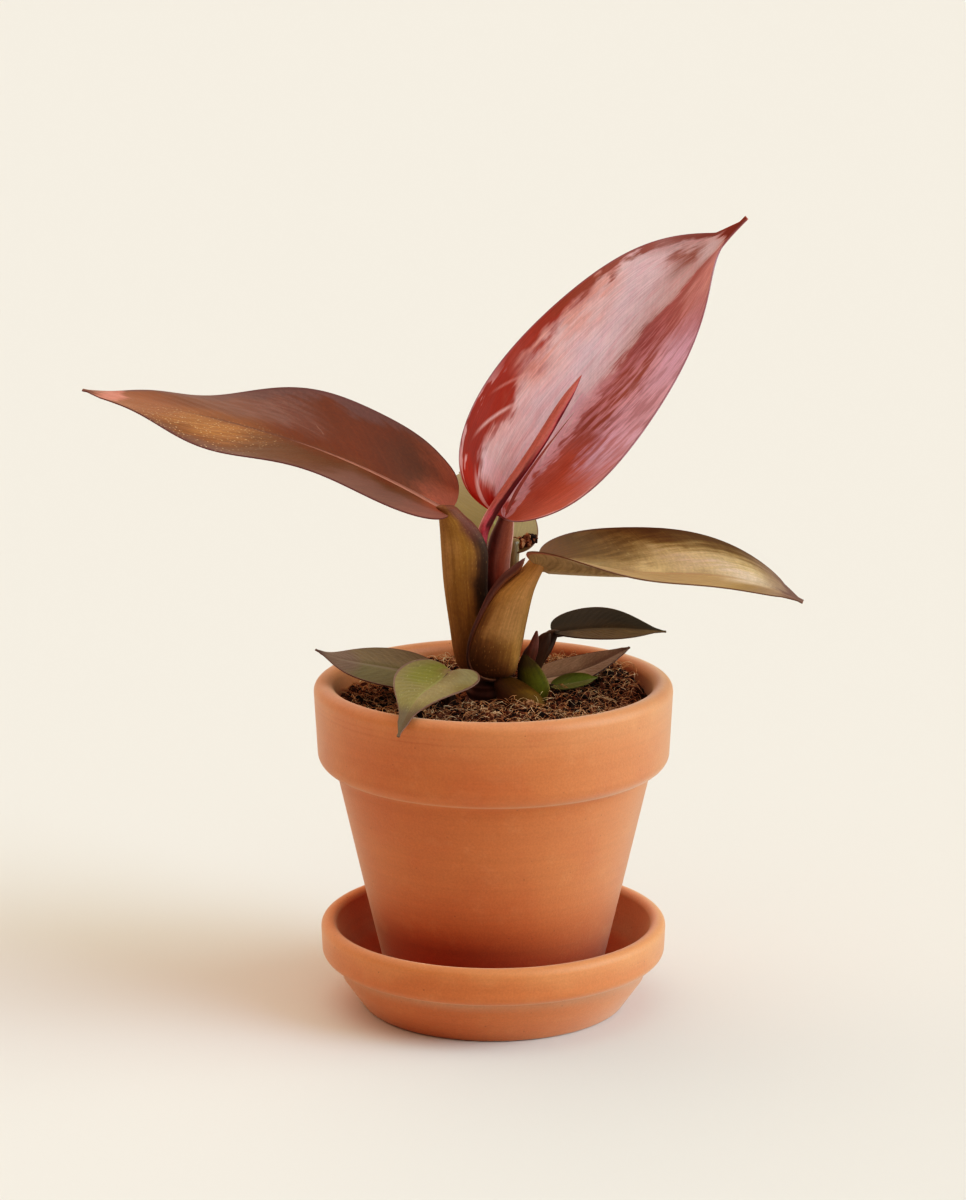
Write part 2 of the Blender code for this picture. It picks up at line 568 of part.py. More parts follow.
def build_plant(root):
    """The stem and all that grows from it or beside it."""
    stem_object(root)
    stalk_object("left_stalk", LEFT_STALK, OLIVE_STALK, root, below_blade(LEFT_BLADE, RIB_THICKNESS + GAP))
    stalk_object("right_stalk", RIGHT_STALK, OLIVE_STALK, root, below_blade(RIGHT_BLADE, RIB_THICKNESS + GAP))
    stalk_object("new_stalk", NEW_STALK, RED_STALK, root, before_blade(NEW_BLADE, GAP))
    stalk_object("back_stalk", BACK_STALK, OLIVE_STALK, root, below_blade(BACK_BLADE, RIB_THICKNESS + GAP))
    blade_object("left_blade", LEFT_BLADE, LARGE_ROWS, LARGE_COLUMNS, BRONZE_LEAF, root)
    blade_object("right_blade", RIGHT_BLADE, LARGE_ROWS, LARGE_COLUMNS, OLIVE_LEAF, root)
    blade_object("new_blade", NEW_BLADE, LARGE_ROWS, LARGE_COLUMNS, RED_LEAF, root)
    blade_object("back_blade", BACK_BLADE, LARGE_ROWS, LARGE_COLUMNS, GREEN_LEAF, root)
    stalk_object("rolled_leaf", ROLLED_LEAF, RED_LEAF, root)
    stalk_object("brown_bract", BROWN_BRACT, RED_STALK, root)
    add_object("green_bract", tube_shape(GREEN_BRACT, BRACT_FLATNESS), GREEN_LEAF, root)
    add_object("olive_bract", tube_shape(OLIVE_BRACT, BRACT_FLATNESS), OLIVE_STALK, root)
    small_leaf_object("upper_small_leaf", UPPER_SMALL_BLADE, UPPER_SMALL_STALK, GREY_LEAF, root)
    small_leaf_object("lower_small_leaf", LOWER_SMALL_BLADE, LOWER_SMALL_STALK, GREY_LEAF, root)
    small_leaf_object("dark_small_leaf", DARK_SMALL_BLADE, DARK_SMALL_STALK, GREY_LEAF, root)
    small_leaf_object("heart_leaf", HEART_BLADE, HEART_STALK, GREEN_LEAF, root)
    small_leaf_object("oval_small_leaf", OVAL_SMALL_BLADE, OVAL_SMALL_STALK, GREEN_LEAF, root)


def main():
    """Build the saucer, the pot, the soil and the plant."""
    clear_scene()
    root = bpy.data.objects.new("philodendron root", None)
    bpy.context.collection.objects.link(root)
    turned_object("saucer", saucer_profile(), SAUCER_CLAY, False, root)
    turned_object("pot", pot_profile(), TERRACOTTA, True, root)
    soil = soil_object(root)
    cut_hole(soil, (0.0, 0.0), STEM_BOTTOM - GAP, STEM_RADIUS + GAP)
    for path in (UPPER_SMALL_STALK, LOWER_SMALL_STALK, DARK_SMALL_STALK, HEART_STALK, OVAL_SMALL_STALK):
        x, y, bottom, radius = path[0]
        cut_hole(soil, (x, y), bottom - GAP, radius + 2 * GAP)
    build_plant(root)


main()
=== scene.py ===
"""The looks of a potted philodendron: a young red-leaved plant in a clay pot on its saucer.

The frame holds the plant's plain solids. This script stands a finer piece in the place of each one,
adds what the solids leave out, such as soil crumbs, roots and veins, and gives every piece its finish.
Sizes are in millimetres and are turned into metres by MM. Z is up, X is to the right and Y points away
from the camera. The origin is the middle of the saucer's underside.
"""

from __future__ import annotations

import logging
import math
import random
from dataclasses import dataclass, field
from enum import Enum
from typing import Callable, Sequence

import bmesh
import bpy
from mathutils import Euler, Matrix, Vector, noise
from mathutils.bvhtree import BVHTree


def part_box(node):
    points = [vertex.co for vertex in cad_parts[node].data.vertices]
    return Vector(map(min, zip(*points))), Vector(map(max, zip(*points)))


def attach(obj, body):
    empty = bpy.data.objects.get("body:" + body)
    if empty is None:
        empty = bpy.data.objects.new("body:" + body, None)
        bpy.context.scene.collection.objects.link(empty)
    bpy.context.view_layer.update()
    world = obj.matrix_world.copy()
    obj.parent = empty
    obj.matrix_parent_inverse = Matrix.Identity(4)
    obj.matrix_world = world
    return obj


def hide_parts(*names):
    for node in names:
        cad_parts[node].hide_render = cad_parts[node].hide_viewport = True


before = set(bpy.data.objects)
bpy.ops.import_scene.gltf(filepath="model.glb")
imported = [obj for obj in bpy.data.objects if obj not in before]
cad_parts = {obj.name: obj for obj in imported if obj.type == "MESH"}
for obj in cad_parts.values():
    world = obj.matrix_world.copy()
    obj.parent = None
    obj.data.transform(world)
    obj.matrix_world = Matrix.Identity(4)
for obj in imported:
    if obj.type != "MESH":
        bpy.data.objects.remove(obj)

LOG = logging.getLogger("philodendron")
BODY = "root"
UP = Vector((0.0, 0.0, 1.0))
# A millimetre in metres, and the distance in millimetres at which two points are one.
MM = 0.001
MERGE = 0.004
# The surface map says how far along and across a leaf a point lies, and the tone how pale a grain of soil is.
SURFACE_MAP = "surface"
TONE = "tone"
# Where a wash that has no end of its own stops: past the base, the tip, the left margin and the right one.
BASE, TIP, LEFT, RIGHT = -1.0, 2.0, -2.0, 2.0

Pair = tuple[float, float]
Triple = tuple[float, float, float]
Point = Triple
Row = tuple[float, ...]
Colour = tuple[int, int, int]
Placer = Callable[[float, float], Vector]


class Slot(Enum):
    """The record's material slots."""

    SAUCER = "saucer_clay"
    POT = "terracotta"
    SOIL = "soil"
    STEM = "dark_stem"
    OLIVE_STALK = "olive_stalk"
    RED_STALK = "red_stalk"
    BRONZE_LEAF = "bronze_leaf"
    OLIVE_LEAF = "olive_leaf"
    RED_LEAF = "red_leaf"
    GREEN_LEAF = "green_leaf"
    GREY_LEAF = "grey_leaf"


def linear(colour: Colour, gain: Triple = (1.0, 1.0, 1.0)) -> tuple[float, float, float, float]:
    """Turn a display colour into a shader's linear one.

    Args:
        colour: Red, green and blue from 0 to 255.
        gain: A factor on each linear value.

    Returns:
        Linear red, green, blue and an alpha of 1.
    """
    shares = [c / 255 for c in colour]
    values = [s / 12.92 if s <= 0.04045 else ((s + 0.055) / 1.055) ** 2.4 for s in shares]
    red, green, blue = (min(v * g, 1.0) for v, g in zip(values, gain))
    return red, green, blue, 1.0


def between(pair: Pair, t: float) -> float:
    """Mix two values by a share t."""
    return pair[0] + (pair[1] - pair[0]) * t


def metres(lengths: Sequence[float]) -> list[float]:
    """Turn lengths in millimetres into metres."""
    return [length * MM for length in lengths]


def bell(x: float, centre: float, reach: float) -> float:
    """A soft bump of height 1 at the centre."""
    return math.exp(-(((x - centre) / reach) ** 2))


class Signal:
    """A number or colour that a shader node gives out. Arithmetic on it adds math nodes."""

    def __init__(self, recipe: Recipe, socket: bpy.types.NodeSocket) -> None:
        """Wrap a node's output."""
        self.recipe = recipe
        self.socket = socket

    def __add__(self, other: Signal | float) -> Signal:
        """Add."""
        return self.recipe.math("ADD", self, other)

    def __sub__(self, other: Signal | float) -> Signal:
        """Subtract."""
        return self.recipe.math("SUBTRACT", self, other)

    def __mul__(self, other: Signal | float) -> Signal:
        """Multiply."""
        return self.recipe.math("MULTIPLY", self, other)

    def inverse(self) -> Signal:
        """One minus this."""
        return self.recipe.math("SUBTRACT", 1.0, self)

    def size(self) -> Signal:
        """The absolute value."""
        return self.recipe.math("ABSOLUTE", self)

    def rise(self, low: float, high: float) -> Signal:
        """Climb smoothly from 0 at low to 1 at high."""
        return self.recipe.remap(self, low, high, 0.0, 1.0)

    def fall(self, low: float, high: float) -> Signal:
        """Drop smoothly from 1 at low to 0 at high."""
        return self.recipe.remap(self, low, high, 1.0, 0.0)


class Recipe:
    """The node tree of a material, or of the world, while it is put together."""

    def __init__(self, owner: bpy.types.Material | bpy.types.World) -> None:
        """Start with an empty tree."""
        owner.use_nodes = True
        self.owner = owner
        self.tree = owner.node_tree
        self.tree.nodes.clear()

    def node(self, kind: str, **settings: object) -> bpy.types.Node:
        """Add a node and set its properties."""
        made = self.tree.nodes.new(kind)
        for name, value in settings.items():
            setattr(made, name, value)
        return made

    def feed(self, socket: bpy.types.NodeSocket, value: Signal | float | Sequence[float]) -> None:
        """Link a signal to a socket, or set a constant on it."""
        if isinstance(value, Signal):
            self.tree.links.new(value.socket, socket)
        else:
            socket.default_value = value

    def math(self, operation: str, *values: Signal | float) -> Signal:
        """Add a math node and give its result."""
        made = self.node("ShaderNodeMath", operation=operation)
        for socket, value in zip(made.inputs, values):
            self.feed(socket, value)
        return Signal(self, made.outputs[0])

    def remap(self, value: Signal, low: float, high: float, start: float, end: float) -> Signal:
        """Map a value smoothly from one range onto another, and hold it there.

        Args:
            value: What is mapped.
            low: Where the mapping starts.
            high: Where it ends.
            start: The result at or below low.
            end: The result at or above high.

        Returns:
            The mapped value.
        """
        made = self.node("ShaderNodeMapRange", interpolation_type="SMOOTHSTEP")
        for socket, number in zip(made.inputs, (value, low, high, start, end)):
            self.feed(socket, number)
        return Signal(self, made.outputs[0])

    def contrast(self, grain: Signal, depth: float, lift: float = 1.0, reach: float = 0.2) -> Signal:
        """Turn noise into a factor round 1.

        Args:
            grain: The noise, with its middle at 0.5.
            depth: How far the factor goes below 1.
            lift: How far it goes above 1, as a share of the depth.
            reach: How far the noise goes from its middle.

        Returns:
            The factor.
        """
        return self.remap(grain, 0.5 - reach, 0.5 + reach, 1.0 - depth, 1.0 + depth * lift)

    def mix(self, share: Signal, first: Signal | Sequence[float], second: Signal | Sequence[float]) -> Signal:
        """Mix two colours by a share."""
        made = self.node("ShaderNodeMix", data_type="RGBA")
        for place, value in ((0, share), (6, first), (7, second)):
            self.feed(made.inputs[place], value)
        return Signal(self, made.outputs[2])

    def shade(self, colour: Signal | Sequence[float], factor: Signal) -> Signal:
        """Brighten or darken a colour by a factor."""
        made = self.node("ShaderNodeVectorMath", operation="SCALE")
        self.feed(made.inputs[0], colour if isinstance(colour, Signal) else colour[:3])
        self.feed(made.inputs["Scale"], factor)
        return Signal(self, made.outputs[0])

    def add(self, first: Signal | Sequence[float], second: Signal) -> Signal:
        """Add two colours or vectors."""
        made = self.node("ShaderNodeVectorMath", operation="ADD")
        self.feed(made.inputs[0], first)
        self.feed(made.inputs[1], second)
        return Signal(self, made.outputs[0])

    def dot(self, vector: Signal, direction: Sequence[float]) -> Signal:
        """The dot product of a vector and a fixed direction."""
        made = self.node("ShaderNodeVectorMath", operation="DOT_PRODUCT")
        self.feed(made.inputs[0], vector)
        self.feed(made.inputs[1], direction)
        return Signal(self, made.outputs["Value"])

    def vector(self, x: Signal | float, y: Signal | float, z: Signal | float) -> Signal:
        """Join three numbers into a vector."""
        made = self.node("ShaderNodeCombineXYZ")
        for socket, value in zip(made.inputs, (x, y, z)):
            self.feed(socket, value)
        return Signal(self, made.outputs[0])

    def parts(self, vector: Signal) -> tuple[Signal, Signal, Signal]:
        """Take a vector apart."""
        made = self.node("ShaderNodeSeparateXYZ")
        self.feed(made.inputs[0], vector)
        x, y, z = (Signal(self, socket) for socket in made.outputs)
        return x, y, z

    def noise(self, vector: Signal, scale: float, detail: float = 2.0, roughness: float = 0.5) -> Signal:
        """Smooth noise from about 0.25 to 0.75 over a vector."""
        made = self.node("ShaderNodeTexNoise")
        self.feed(made.inputs["Vector"], vector)
        made.inputs["Scale"].default_value = scale
        made.inputs["Detail"].default_value = detail
        made.inputs["Roughness"].default_value = roughness
        return Signal(self, made.outputs[0])

    def cells(self, vector: Signal, scale: float) -> tuple[Signal, Signal]:
        """Scattered points over a vector.

        Returns:
            The distance to the nearest point, and a random number that belongs to it.
        """
        made = self.node("ShaderNodeTexVoronoi")
        self.feed(made.inputs["Vector"], vector)
        made.inputs["Scale"].default_value = scale
        pick, _, _ = self.parts(Signal(self, made.outputs["Color"]))
        return Signal(self, made.outputs["Distance"]), pick

    def place(self) -> Signal:
        """The point on the object, in metres."""
        return Signal(self, self.node("ShaderNodeTexCoord").outputs["Object"])

    def surface(self) -> tuple[Signal, Signal]:
        """Where on a leaf or stalk a point lies.

        Returns:
            t from its base at 0 to its tip at 1, and s from its left margin at -1 to its right one at 1.
        """
        made = self.node("ShaderNodeUVMap", uv_map=SURFACE_MAP)
        u, v, _ = self.parts(Signal(self, made.outputs[0]))
        return v, u * 2.0 - 1.0

    def attribute(self, name: str) -> Signal:
        """A number that the mesh carries at its points."""
        return Signal(self, self.node("ShaderNodeAttribute", attribute_name=name).outputs["Fac"])

    def finish(self, colour: Signal | Sequence[float], roughness: Signal | float,
               height: Signal | None = None, depth: float = 0.0,
               **constants: float | Sequence[float]) -> bpy.types.Material:
        """Close the tree with a Principled shader.

        Args:
            colour: The base colour.
            roughness: The roughness.
            height: A relief from 0 to 1, if there is one.
            depth: The relief's real depth in millimetres.
            constants: Other sockets, named with underscores, and their values.

        Returns:
            The finished material.
        """
        shader = self.node("ShaderNodeBsdfPrincipled")
        self.feed(shader.inputs["Base Color"], colour)
        self.feed(shader.inputs["Roughness"], roughness)
        for name, value in constants.items():
            shader.inputs[name.replace("_", " ")].default_value = value
        if height is not None:
            bump = self.node("ShaderNodeBump")
            bump.inputs["Distance"].default_value = depth * MM
            self.feed(bump.inputs["Height"], height)
            self.tree.links.new(bump.outputs[0], shader.inputs["Normal"])
        output = self.node("ShaderNodeOutputMaterial")
        self.tree.links.new(shader.outputs[0], output.inputs[0])
        return self.owner


class LeafMap:
    """Where a point lies on a leaf or stalk of one size, and noise that follows it.

    t goes from the base at 0 to the tip at 1, s from the left margin at -1 to the right one at 1, and out
    from the midrib at 0 to both margins at 1.
    """

    def __init__(self, recipe: Recipe, length: float, half_width: float) -> None:
        """Read the place in a material's tree.

        Args:
            recipe: The material's tree.
            length: The leaf's length, in millimetres.
            half_width: The distance from its midrib to a margin, in millimetres.
        """
        self.recipe = recipe
        self.length = length
        self.half_width = half_width
        self.t, self.s = recipe.surface()
        self.out = self.s.size()
        self.right_side = self.s.rise(-0.1, 0.1)

    def pattern(self, across: Signal, size: Pair, seed: float = 0.0, detail: float = 3.0,
                roughness: float = 0.5) -> Signal:
        """Noise with grains of that size along and across the leaf, in millimetres."""
        long, wide = size
        spread = self.recipe.vector(self.t * (self.length / long), across * (self.half_width / wide), seed)
        return self.recipe.noise(spread, 1.0, detail, roughness)

    def leaning(self, leans: Pair) -> Signal:
        """The place across, leaning by so many shares on the left half and on the right one."""
        left, right = leans
        return self.s - self.t * (self.right_side * (right - left) + left)


@dataclass(frozen=True)
class Wash:
    """A soft-edged patch of colour on a leaf or stalk: its own colour, or a painted highlight, sheen or
    shade.

    Its place is given as shares: along from the base at 0 to the tip at 1, and across from the left
    margin at -1 to the right one at 1. Its edges are as wide as the soft values. The streaks are how far
    the leaf's strokes break it up, the slant leans its ends towards the margins, and where it is crisp
    its edges don't wander.
    """

    colour: Colour
    along: Pair = (BASE, TIP)
    across: Pair = (LEFT, RIGHT)
    soft_along: float = 0.08
    soft_across: float = 0.2
    strength: float = 1.0
    streaks: float = 0.0
    slant: float = 0.0
    crisp: bool = False

    def mask(self, exact: tuple[Signal, Signal], frayed: tuple[Signal, Signal], veins: Signal) -> Signal:
        """Build the patch's share at each point.

        Args:
            exact: The place from base to tip and from margin to margin, which a crisp patch keeps to.
            frayed: The same with wandering edges, for the other patches.
            veins: Streaky noise along the veins.

        Returns:
            A share from 0 to 1.
        """
        t, s = exact if self.crisp else frayed
        if self.slant:
            t = t - s.size() * self.slant
        share = (veins.rise(0.40, 0.62) * self.streaks + (1.0 - self.streaks)) * self.strength
        edges = ((t, self.along, self.soft_along, 0.0, 1.0), (s, self.across, self.soft_across, -1.0, 1.0))
        for value, (start, end), soft, lowest, highest in edges:
            if start - soft > lowest:
                share = share * value.rise(start - soft, start + soft)
            if end + soft < highest:
                share = share * value.fall(end - soft, end + soft)
        return share


@dataclass(frozen=True)
class LeafFinish:
    """The skin of a leaf's face or of a stalk, painted from base to tip.

    The washes lie on the colour in their order, and the margin, the rib and the speckles over them. Sizes
    are in millimetres, given along and across where there are two. The strokes and the finer brush lean
    by as many shares across as the leans say, on the left half and on the right one.
    """

    name: str
    colour: Colour
    washes: tuple[Wash, ...] = ()
    margin: Colour | None = None
    margin_start: float = 0.955
    margin_soft: float = 0.03
    margin_strength: float = 0.85
    rib: Colour | None = None
    rib_width: float = 1.0
    rib_fade: Pair = (0.55, 0.95)
    rib_strength: float = 0.8
    speckles: Wash | None = None
    speckle_size: Pair = (1.9, 0.8)
    gain: Triple = (1.0, 1.0, 1.0)
    roughness: float = 0.42
    shine: float = 0.4
    coat: float = 0.25
    coat_roughness: float = 0.22
    streak_contrast: float = 0.25
    vein_pitch: float = 1.1
    vein_slant: float = 0.16
    vein_length: float = 13.0
    streak_length: float = 28.0
    relief: float = 0.10
    blotch_size: Pair = (14.0, 14.0)
    fray: float = 0.25
    grain_contrast: float = 0.10
    brush_contrast: float = 0.08
    brush_size: Pair = (9.0, 0.6)
    stroke_size: Pair = (9.0, 1.6)
    stroke_leans: Pair = (-2.2, 2.2)
    lengthwise: bool = False

    def material(self, length: float, half_width: float) -> bpy.types.Material:
        """Put the finish together for a leaf or stalk of that size.

        Args:
            length: From base to tip, in millimetres.
            half_width: From the middle to a margin, in millimetres.

        Returns:
            The material.
        """
        recipe = Recipe(bpy.data.materials.new(self.name))
        leaf = LeafMap(recipe, length, half_width)
        leaning = leaf.leaning(self.stroke_leans)
        strokes = leaf.pattern(leaning, self.stroke_size, seed=7.0, roughness=0.55)
        brush = leaf.pattern(leaning, self.brush_size, seed=3.0, detail=2.0)
        drift = leaf.pattern(leaf.s, self.blotch_size) - 0.5
        fray = (strokes - 0.5) * self.fray
        frayed = (leaf.t + drift * 0.14 + fray * 0.15, leaf.s + drift * 0.5 + fray)
        veins = self.veins(leaf)
        grain = recipe.noise(recipe.vector(leaf.t * length, leaf.s * half_width, 0.0), 1.1, 3.0, 0.65)
        colour = linear(self.colour, self.gain)
        for wash in self.washes:
            share = wash.mask((leaf.t, leaf.s), frayed, strokes)
            colour = recipe.mix(share, colour, linear(wash.colour, self.gain))
        colour = recipe.shade(colour, recipe.remap(drift, -0.2, 0.2, 1.04, 0.94))
        shade = recipe.contrast(veins, self.streak_contrast, lift=0.6, reach=0.18)
        shade = shade * recipe.contrast(grain, self.grain_contrast, lift=0.8)
        shade = shade * recipe.contrast(brush, self.brush_contrast)
        colour = self.edged(leaf, recipe.shade(colour, shade))
        if self.speckles is not None:
            long, wide = self.speckle_size
            spread = recipe.vector(leaf.t * (length / long), leaf.s * (half_width / wide) + drift * 9.0, 0.0)
            distance, pick = recipe.cells(spread, 1.0)
            spots = distance.fall(0.10, 0.34) * pick.rise(0.35, 0.75)
            spots = spots * self.speckles.mask((leaf.t, leaf.s), frayed, strokes)
            colour = recipe.mix(spots, colour, linear(self.speckles.colour, self.gain))
        roughness = recipe.remap(grain, 0.3, 0.7, self.roughness - 0.05, self.roughness + 0.08)
        height = veins * 0.7 + grain * 0.3
        return recipe.finish(colour, roughness, height, self.relief, Coat_Weight=self.coat,
                             Coat_Roughness=self.coat_roughness, Specular_IOR_Level=self.shine)

    def veins(self, leaf: LeafMap) -> Signal:
        """Streaky noise that runs lengthwise, or from the midrib out to the margins."""
        if self.lengthwise:
            return leaf.pattern(leaf.s, (self.streak_length, self.vein_pitch), roughness=0.6)
        along_vein = leaf.t - leaf.out * leaf.t.inverse() * self.vein_slant
        flow = leaf.recipe.vector(along_vein * (leaf.length / self.vein_pitch),
                                  leaf.out * (leaf.half_width / self.vein_length), leaf.right_side)
        return leaf.recipe.noise(flow, 1.0, 3.0, 0.6)

    def edged(self, leaf: LeafMap, colour: Signal) -> Signal:
        """Draw the rib and the margin over a colour, where the leaf has them."""
        if self.rib is not None:
            edge = self.rib_width / leaf.half_width
            share = leaf.out.fall(edge * 0.4, edge) * leaf.t.fall(*self.rib_fade)
            colour = leaf.recipe.mix(share * self.rib_strength, colour, linear(self.rib, self.gain))
        if self.margin is not None:
            share = leaf.out.rise(self.margin_start, min(self.margin_start + self.margin_soft, 1.0))
            colour = leaf.recipe.mix(share * self.margin_strength, colour, linear(self.margin, self.gain))
        return colour


@dataclass(frozen=True)
class StalkFinish(LeafFinish):
    """The skin of a stalk or scale, whose veins run lengthwise."""

    lengthwise: bool = True


@dataclass(frozen=True)
class SheathFinish(StalkFinish):
    """The dull, finely flecked skin of a broad sheath."""

    speckle_size: Pair = (1.4, 0.35)
    vein_pitch: float = 0.8
    streak_contrast: float = 0.08
    coat: float = 0.0
    stroke_size: Pair = (30.0, 2.0)
    stroke_leans: Pair = (0.0, 0.0)


@dataclass(frozen=True)
class SmallLeafFinish(LeafFinish):
    """The skin of a small leaf, with finer veins and strokes."""

    vein_pitch: float = 0.7
    streak_contrast: float = 0.08
    coat: float = 0.15
    stroke_size: Pair = (8.0, 1.2)


@dataclass(frozen=True)
class ClayFinish:
    """Unglazed fired clay, turned on a wheel.

    Heights are in millimetres: the deep colour fades out over deep_below as painted shade towards the bottom,
    the pale one comes in over pale_above, and a thin dark line runs round at each of the lines. The inside
    may have its own colour, a paler one painted to temper the red light bounced inside it.
    """

    name: str
    colour: Colour
    deep: Colour
    pale: Colour
    deep_below: Pair
    pale_above: Pair
    lines: tuple[float, ...] = ()
    speck_colour: Colour = (120, 58, 34)
    inside: Colour | None = None
    inside_radius: Pair = (50.6, 52.2)
    inside_above: Pair = (11.0, 16.0)
    line_width: float = 0.5
    mottle_scale: float = 38.0
    dust_scale: float = 150.0
    sand_scale: float = 1500.0
    turning_scale: float = 620.0
    speck_scale: float = 420.0
    sheen: Triple = (1.0, 0.92, 0.75)

    def material(self) -> bpy.types.Material:
        """Put the clay together: painted shade, mottling, turning lines, specks, and a dusty sheen."""
        recipe = Recipe(bpy.data.materials.new(self.name))
        place = recipe.place()
        x, y, z = recipe.parts(place)
        mottle = recipe.noise(place, self.mottle_scale, 4.0, 0.55)
        dust = recipe.noise(place, self.dust_scale, 3.0, 0.6)
        sand = recipe.noise(place, self.sand_scale, 3.0, 0.7)
        rings = recipe.vector(x * 6.0, y * 6.0, z * self.turning_scale)
        turning = recipe.noise(rings, 1.0, 3.0, 0.6)
        level = z + (mottle - 0.5) * 0.02
        # Painted shade: the deep colour darkens the clay towards the bottom, over the deep_below heights.
        colour = recipe.mix(level.rise(*metres(self.deep_below)), linear(self.deep), linear(self.colour))
        colour = recipe.mix(level.rise(*metres(self.pale_above)) * 0.8, colour, linear(self.pale))
        # Painted light: a paler, greyer inside tempers the red of the light bounced inside the vessel.
        if self.inside is not None:
            share = (x * x + y * y).fall(*(radius ** 2 for radius in metres(self.inside_radius)))
            share = share * z.rise(*metres(self.inside_above))
            colour = recipe.mix(share, colour, linear(self.inside))
        colour = recipe.mix(dust.rise(0.5, 0.75) * 0.22, colour, linear(self.pale))
        colour = recipe.mix(mottle.rise(0.42, 0.62) * 0.25, colour, linear(self.deep))
        distance, pick = recipe.cells(place, self.speck_scale)
        specks = distance.fall(0.06, 0.16) * pick.rise(0.86, 0.9)
        colour = recipe.mix(specks * 0.4, colour, linear(self.speck_colour))
        for height in self.lines:
            share = ((z - height * MM) + (dust - 0.5) * 0.0006).size().fall(0.0, self.line_width * MM)
            colour = recipe.mix(share * mottle.rise(0.40, 0.65) * 0.22, colour, linear(self.deep))
        colour = recipe.shade(colour, recipe.remap(sand, 0.3, 0.7, 0.94, 1.05))
        colour = recipe.shade(colour, recipe.remap(turning, 0.3, 0.7, 0.97, 1.02))
        height = sand * 0.5 + turning * 0.35 + dust * 0.15
        return recipe.finish(colour, 0.55, height, 0.12, Specular_IOR_Level=0.5, Sheen_Weight=0.5,
                             Sheen_Roughness=0.5, Sheen_Tint=(*self.sheen, 1.0))


@dataclass(frozen=True)
class EarthFinish:
    """A dark or pale grain of the potting soil, whose tone the mesh carries."""

    name: str
    dark: Colour
    middle: Colour
    pale: Colour
    roughness: float = 0.9

    def material(self) -> bpy.types.Material:
        """Put the grain together from the piece's own tone and fine noise."""
        recipe = Recipe(bpy.data.materials.new(self.name))
        place = recipe.place()
        tone = recipe.attribute(TONE)
        fine = recipe.noise(place, 900.0, 3.0, 0.65)
        tone = tone + (fine - 0.5) * 0.8
        colour = recipe.mix(tone.rise(0.1, 0.55), linear(self.dark), linear(self.middle))
        colour = recipe.mix(tone.rise(0.6, 1.0), colour, linear(self.pale))
        return recipe.finish(colour, self.roughness, fine, 0.25, Specular_IOR_Level=0.25)


def deselect_all() -> None:
    """Leave no object selected, so that an operator acts on the new piece alone."""
    bpy.ops.object.select_all(action="DESELECT")


def lay_grid(name: str, columns: int, rows: int, place: Placer) -> bpy.types.Object:
    """Add a flat grid and lay each of its points on a surface.

    Args:
        name: The piece's name.
        columns: Faces across.
        rows: Faces along.
        place: Gives the surface's point in millimetres for two numbers from -1 to 1, across and along.

    Returns:
        The piece, with its surface map.
    """
    deselect_all()
    bpy.ops.mesh.primitive_grid_add(x_subdivisions=columns, y_subdivisions=rows, size=2.0, calc_uvs=True)
    piece = bpy.context.object
    piece.name = name
    piece.data.name = name
    piece.data.uv_layers[0].name = SURFACE_MAP
    for vertex in piece.data.vertices:
        vertex.co = place(vertex.co.x, vertex.co.y) * MM
    return piece


def close_tube(piece: bpy.types.Object) -> None:
    """Weld the seam and the poles of a grid that was laid as a tube, and turn its faces outwards."""
    bpy.ops.object.mode_set(mode="EDIT")
    bpy.ops.mesh.select_all(action="SELECT")
    bpy.ops.mesh.remove_doubles(threshold=MERGE * MM)
    bpy.ops.mesh.dissolve_degenerate(threshold=MERGE * MM)
    bpy.ops.mesh.normals_make_consistent(inside=False)
    bpy.ops.object.mode_set(mode="OBJECT")


def apply_modifier(piece: bpy.types.Object, kind: str, **settings: object) -> None:
    """Put a modifier on a piece and apply it."""
    modifier = piece.modifiers.new(kind.lower(), kind)
    for name, value in settings.items():
        setattr(modifier, name, value)
    bpy.context.view_layer.objects.active = piece
    bpy.ops.object.modifier_apply(modifier=modifier.name)


def smooth(piece: bpy.types.Object, angle: float = 50.0) -> None:
    """Shade a piece smooth, except across edges sharper than the angle."""
    deselect_all()
    piece.select_set(True)
    bpy.context.view_layer.objects.active = piece
    bpy.ops.object.shade_smooth_by_angle(angle=math.radians(angle))


def join(pieces: Sequence[bpy.types.Object]) -> bpy.types.Object:
    """Join pieces into the first one."""
    deselect_all()
    for piece in pieces:
        piece.select_set(True)
    bpy.context.view_layer.objects.active = pieces[0]
    if len(pieces) > 1:
        bpy.ops.object.join()
    return pieces[0]


def settle(piece: bpy.types.Object, slot: Slot, *nodes: str) -> bpy.types.Object:
    """Let a finished piece ride on the body and stand it in for its nodes."""
    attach(piece, BODY)
    if nodes:
        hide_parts(*nodes)
    piece.data.calc_loop_triangles()
    LOG.info("%s: %d triangles", piece.name, len(piece.data.loop_triangles))
    return piece


def bezier(points: Sequence[Vector], t: float) -> tuple[Vector, Vector]:
    """The point of a Bezier curve at a share t, and its unit direction there."""
    rows = list(points)
    while len(rows) > 2:
        rows = [a.lerp(b, t) for a, b in zip(rows, rows[1:])]
    return rows[0].lerp(rows[1], t), (rows[1] - rows[0]).normalized()


def smooth_row(rows: Sequence[Sequence[float]], t: float) -> list[float]:
    """The row at a share t of a smooth curve through rows of numbers.

    Args:
        rows: The rows that the curve runs through, evenly spaced in t.
        t: From 0 at the first row to 1 at the last.

    Returns:
        The row there.
    """
    place = min(max(t, 0.0), 1.0) * (len(rows) - 1)
    i = min(int(place), len(rows) - 2)
    x = place - i
    first, last = rows[0], rows[-1]
    before = rows[i - 1] if i else [2 * p - q for p, q in zip(first, rows[1])]
    after = rows[i + 2] if i + 2 < len(rows) else [2 * p - q for p, q in zip(last, rows[-2])]
    return [0.5 * (2 * b + (c - a) * x + (2 * a - 5 * b + 4 * c - d) * x ** 2
                   + (3 * b - a - 3 * c + d) * x ** 3)
            for a, b, c, d in zip(before, rows[i], rows[i + 1], after)]


def path_length(points: Sequence[Vector]) -> float:
    """The length of a path of straight steps."""
    return sum((b - a).length for a, b in zip(points, points[1:]))


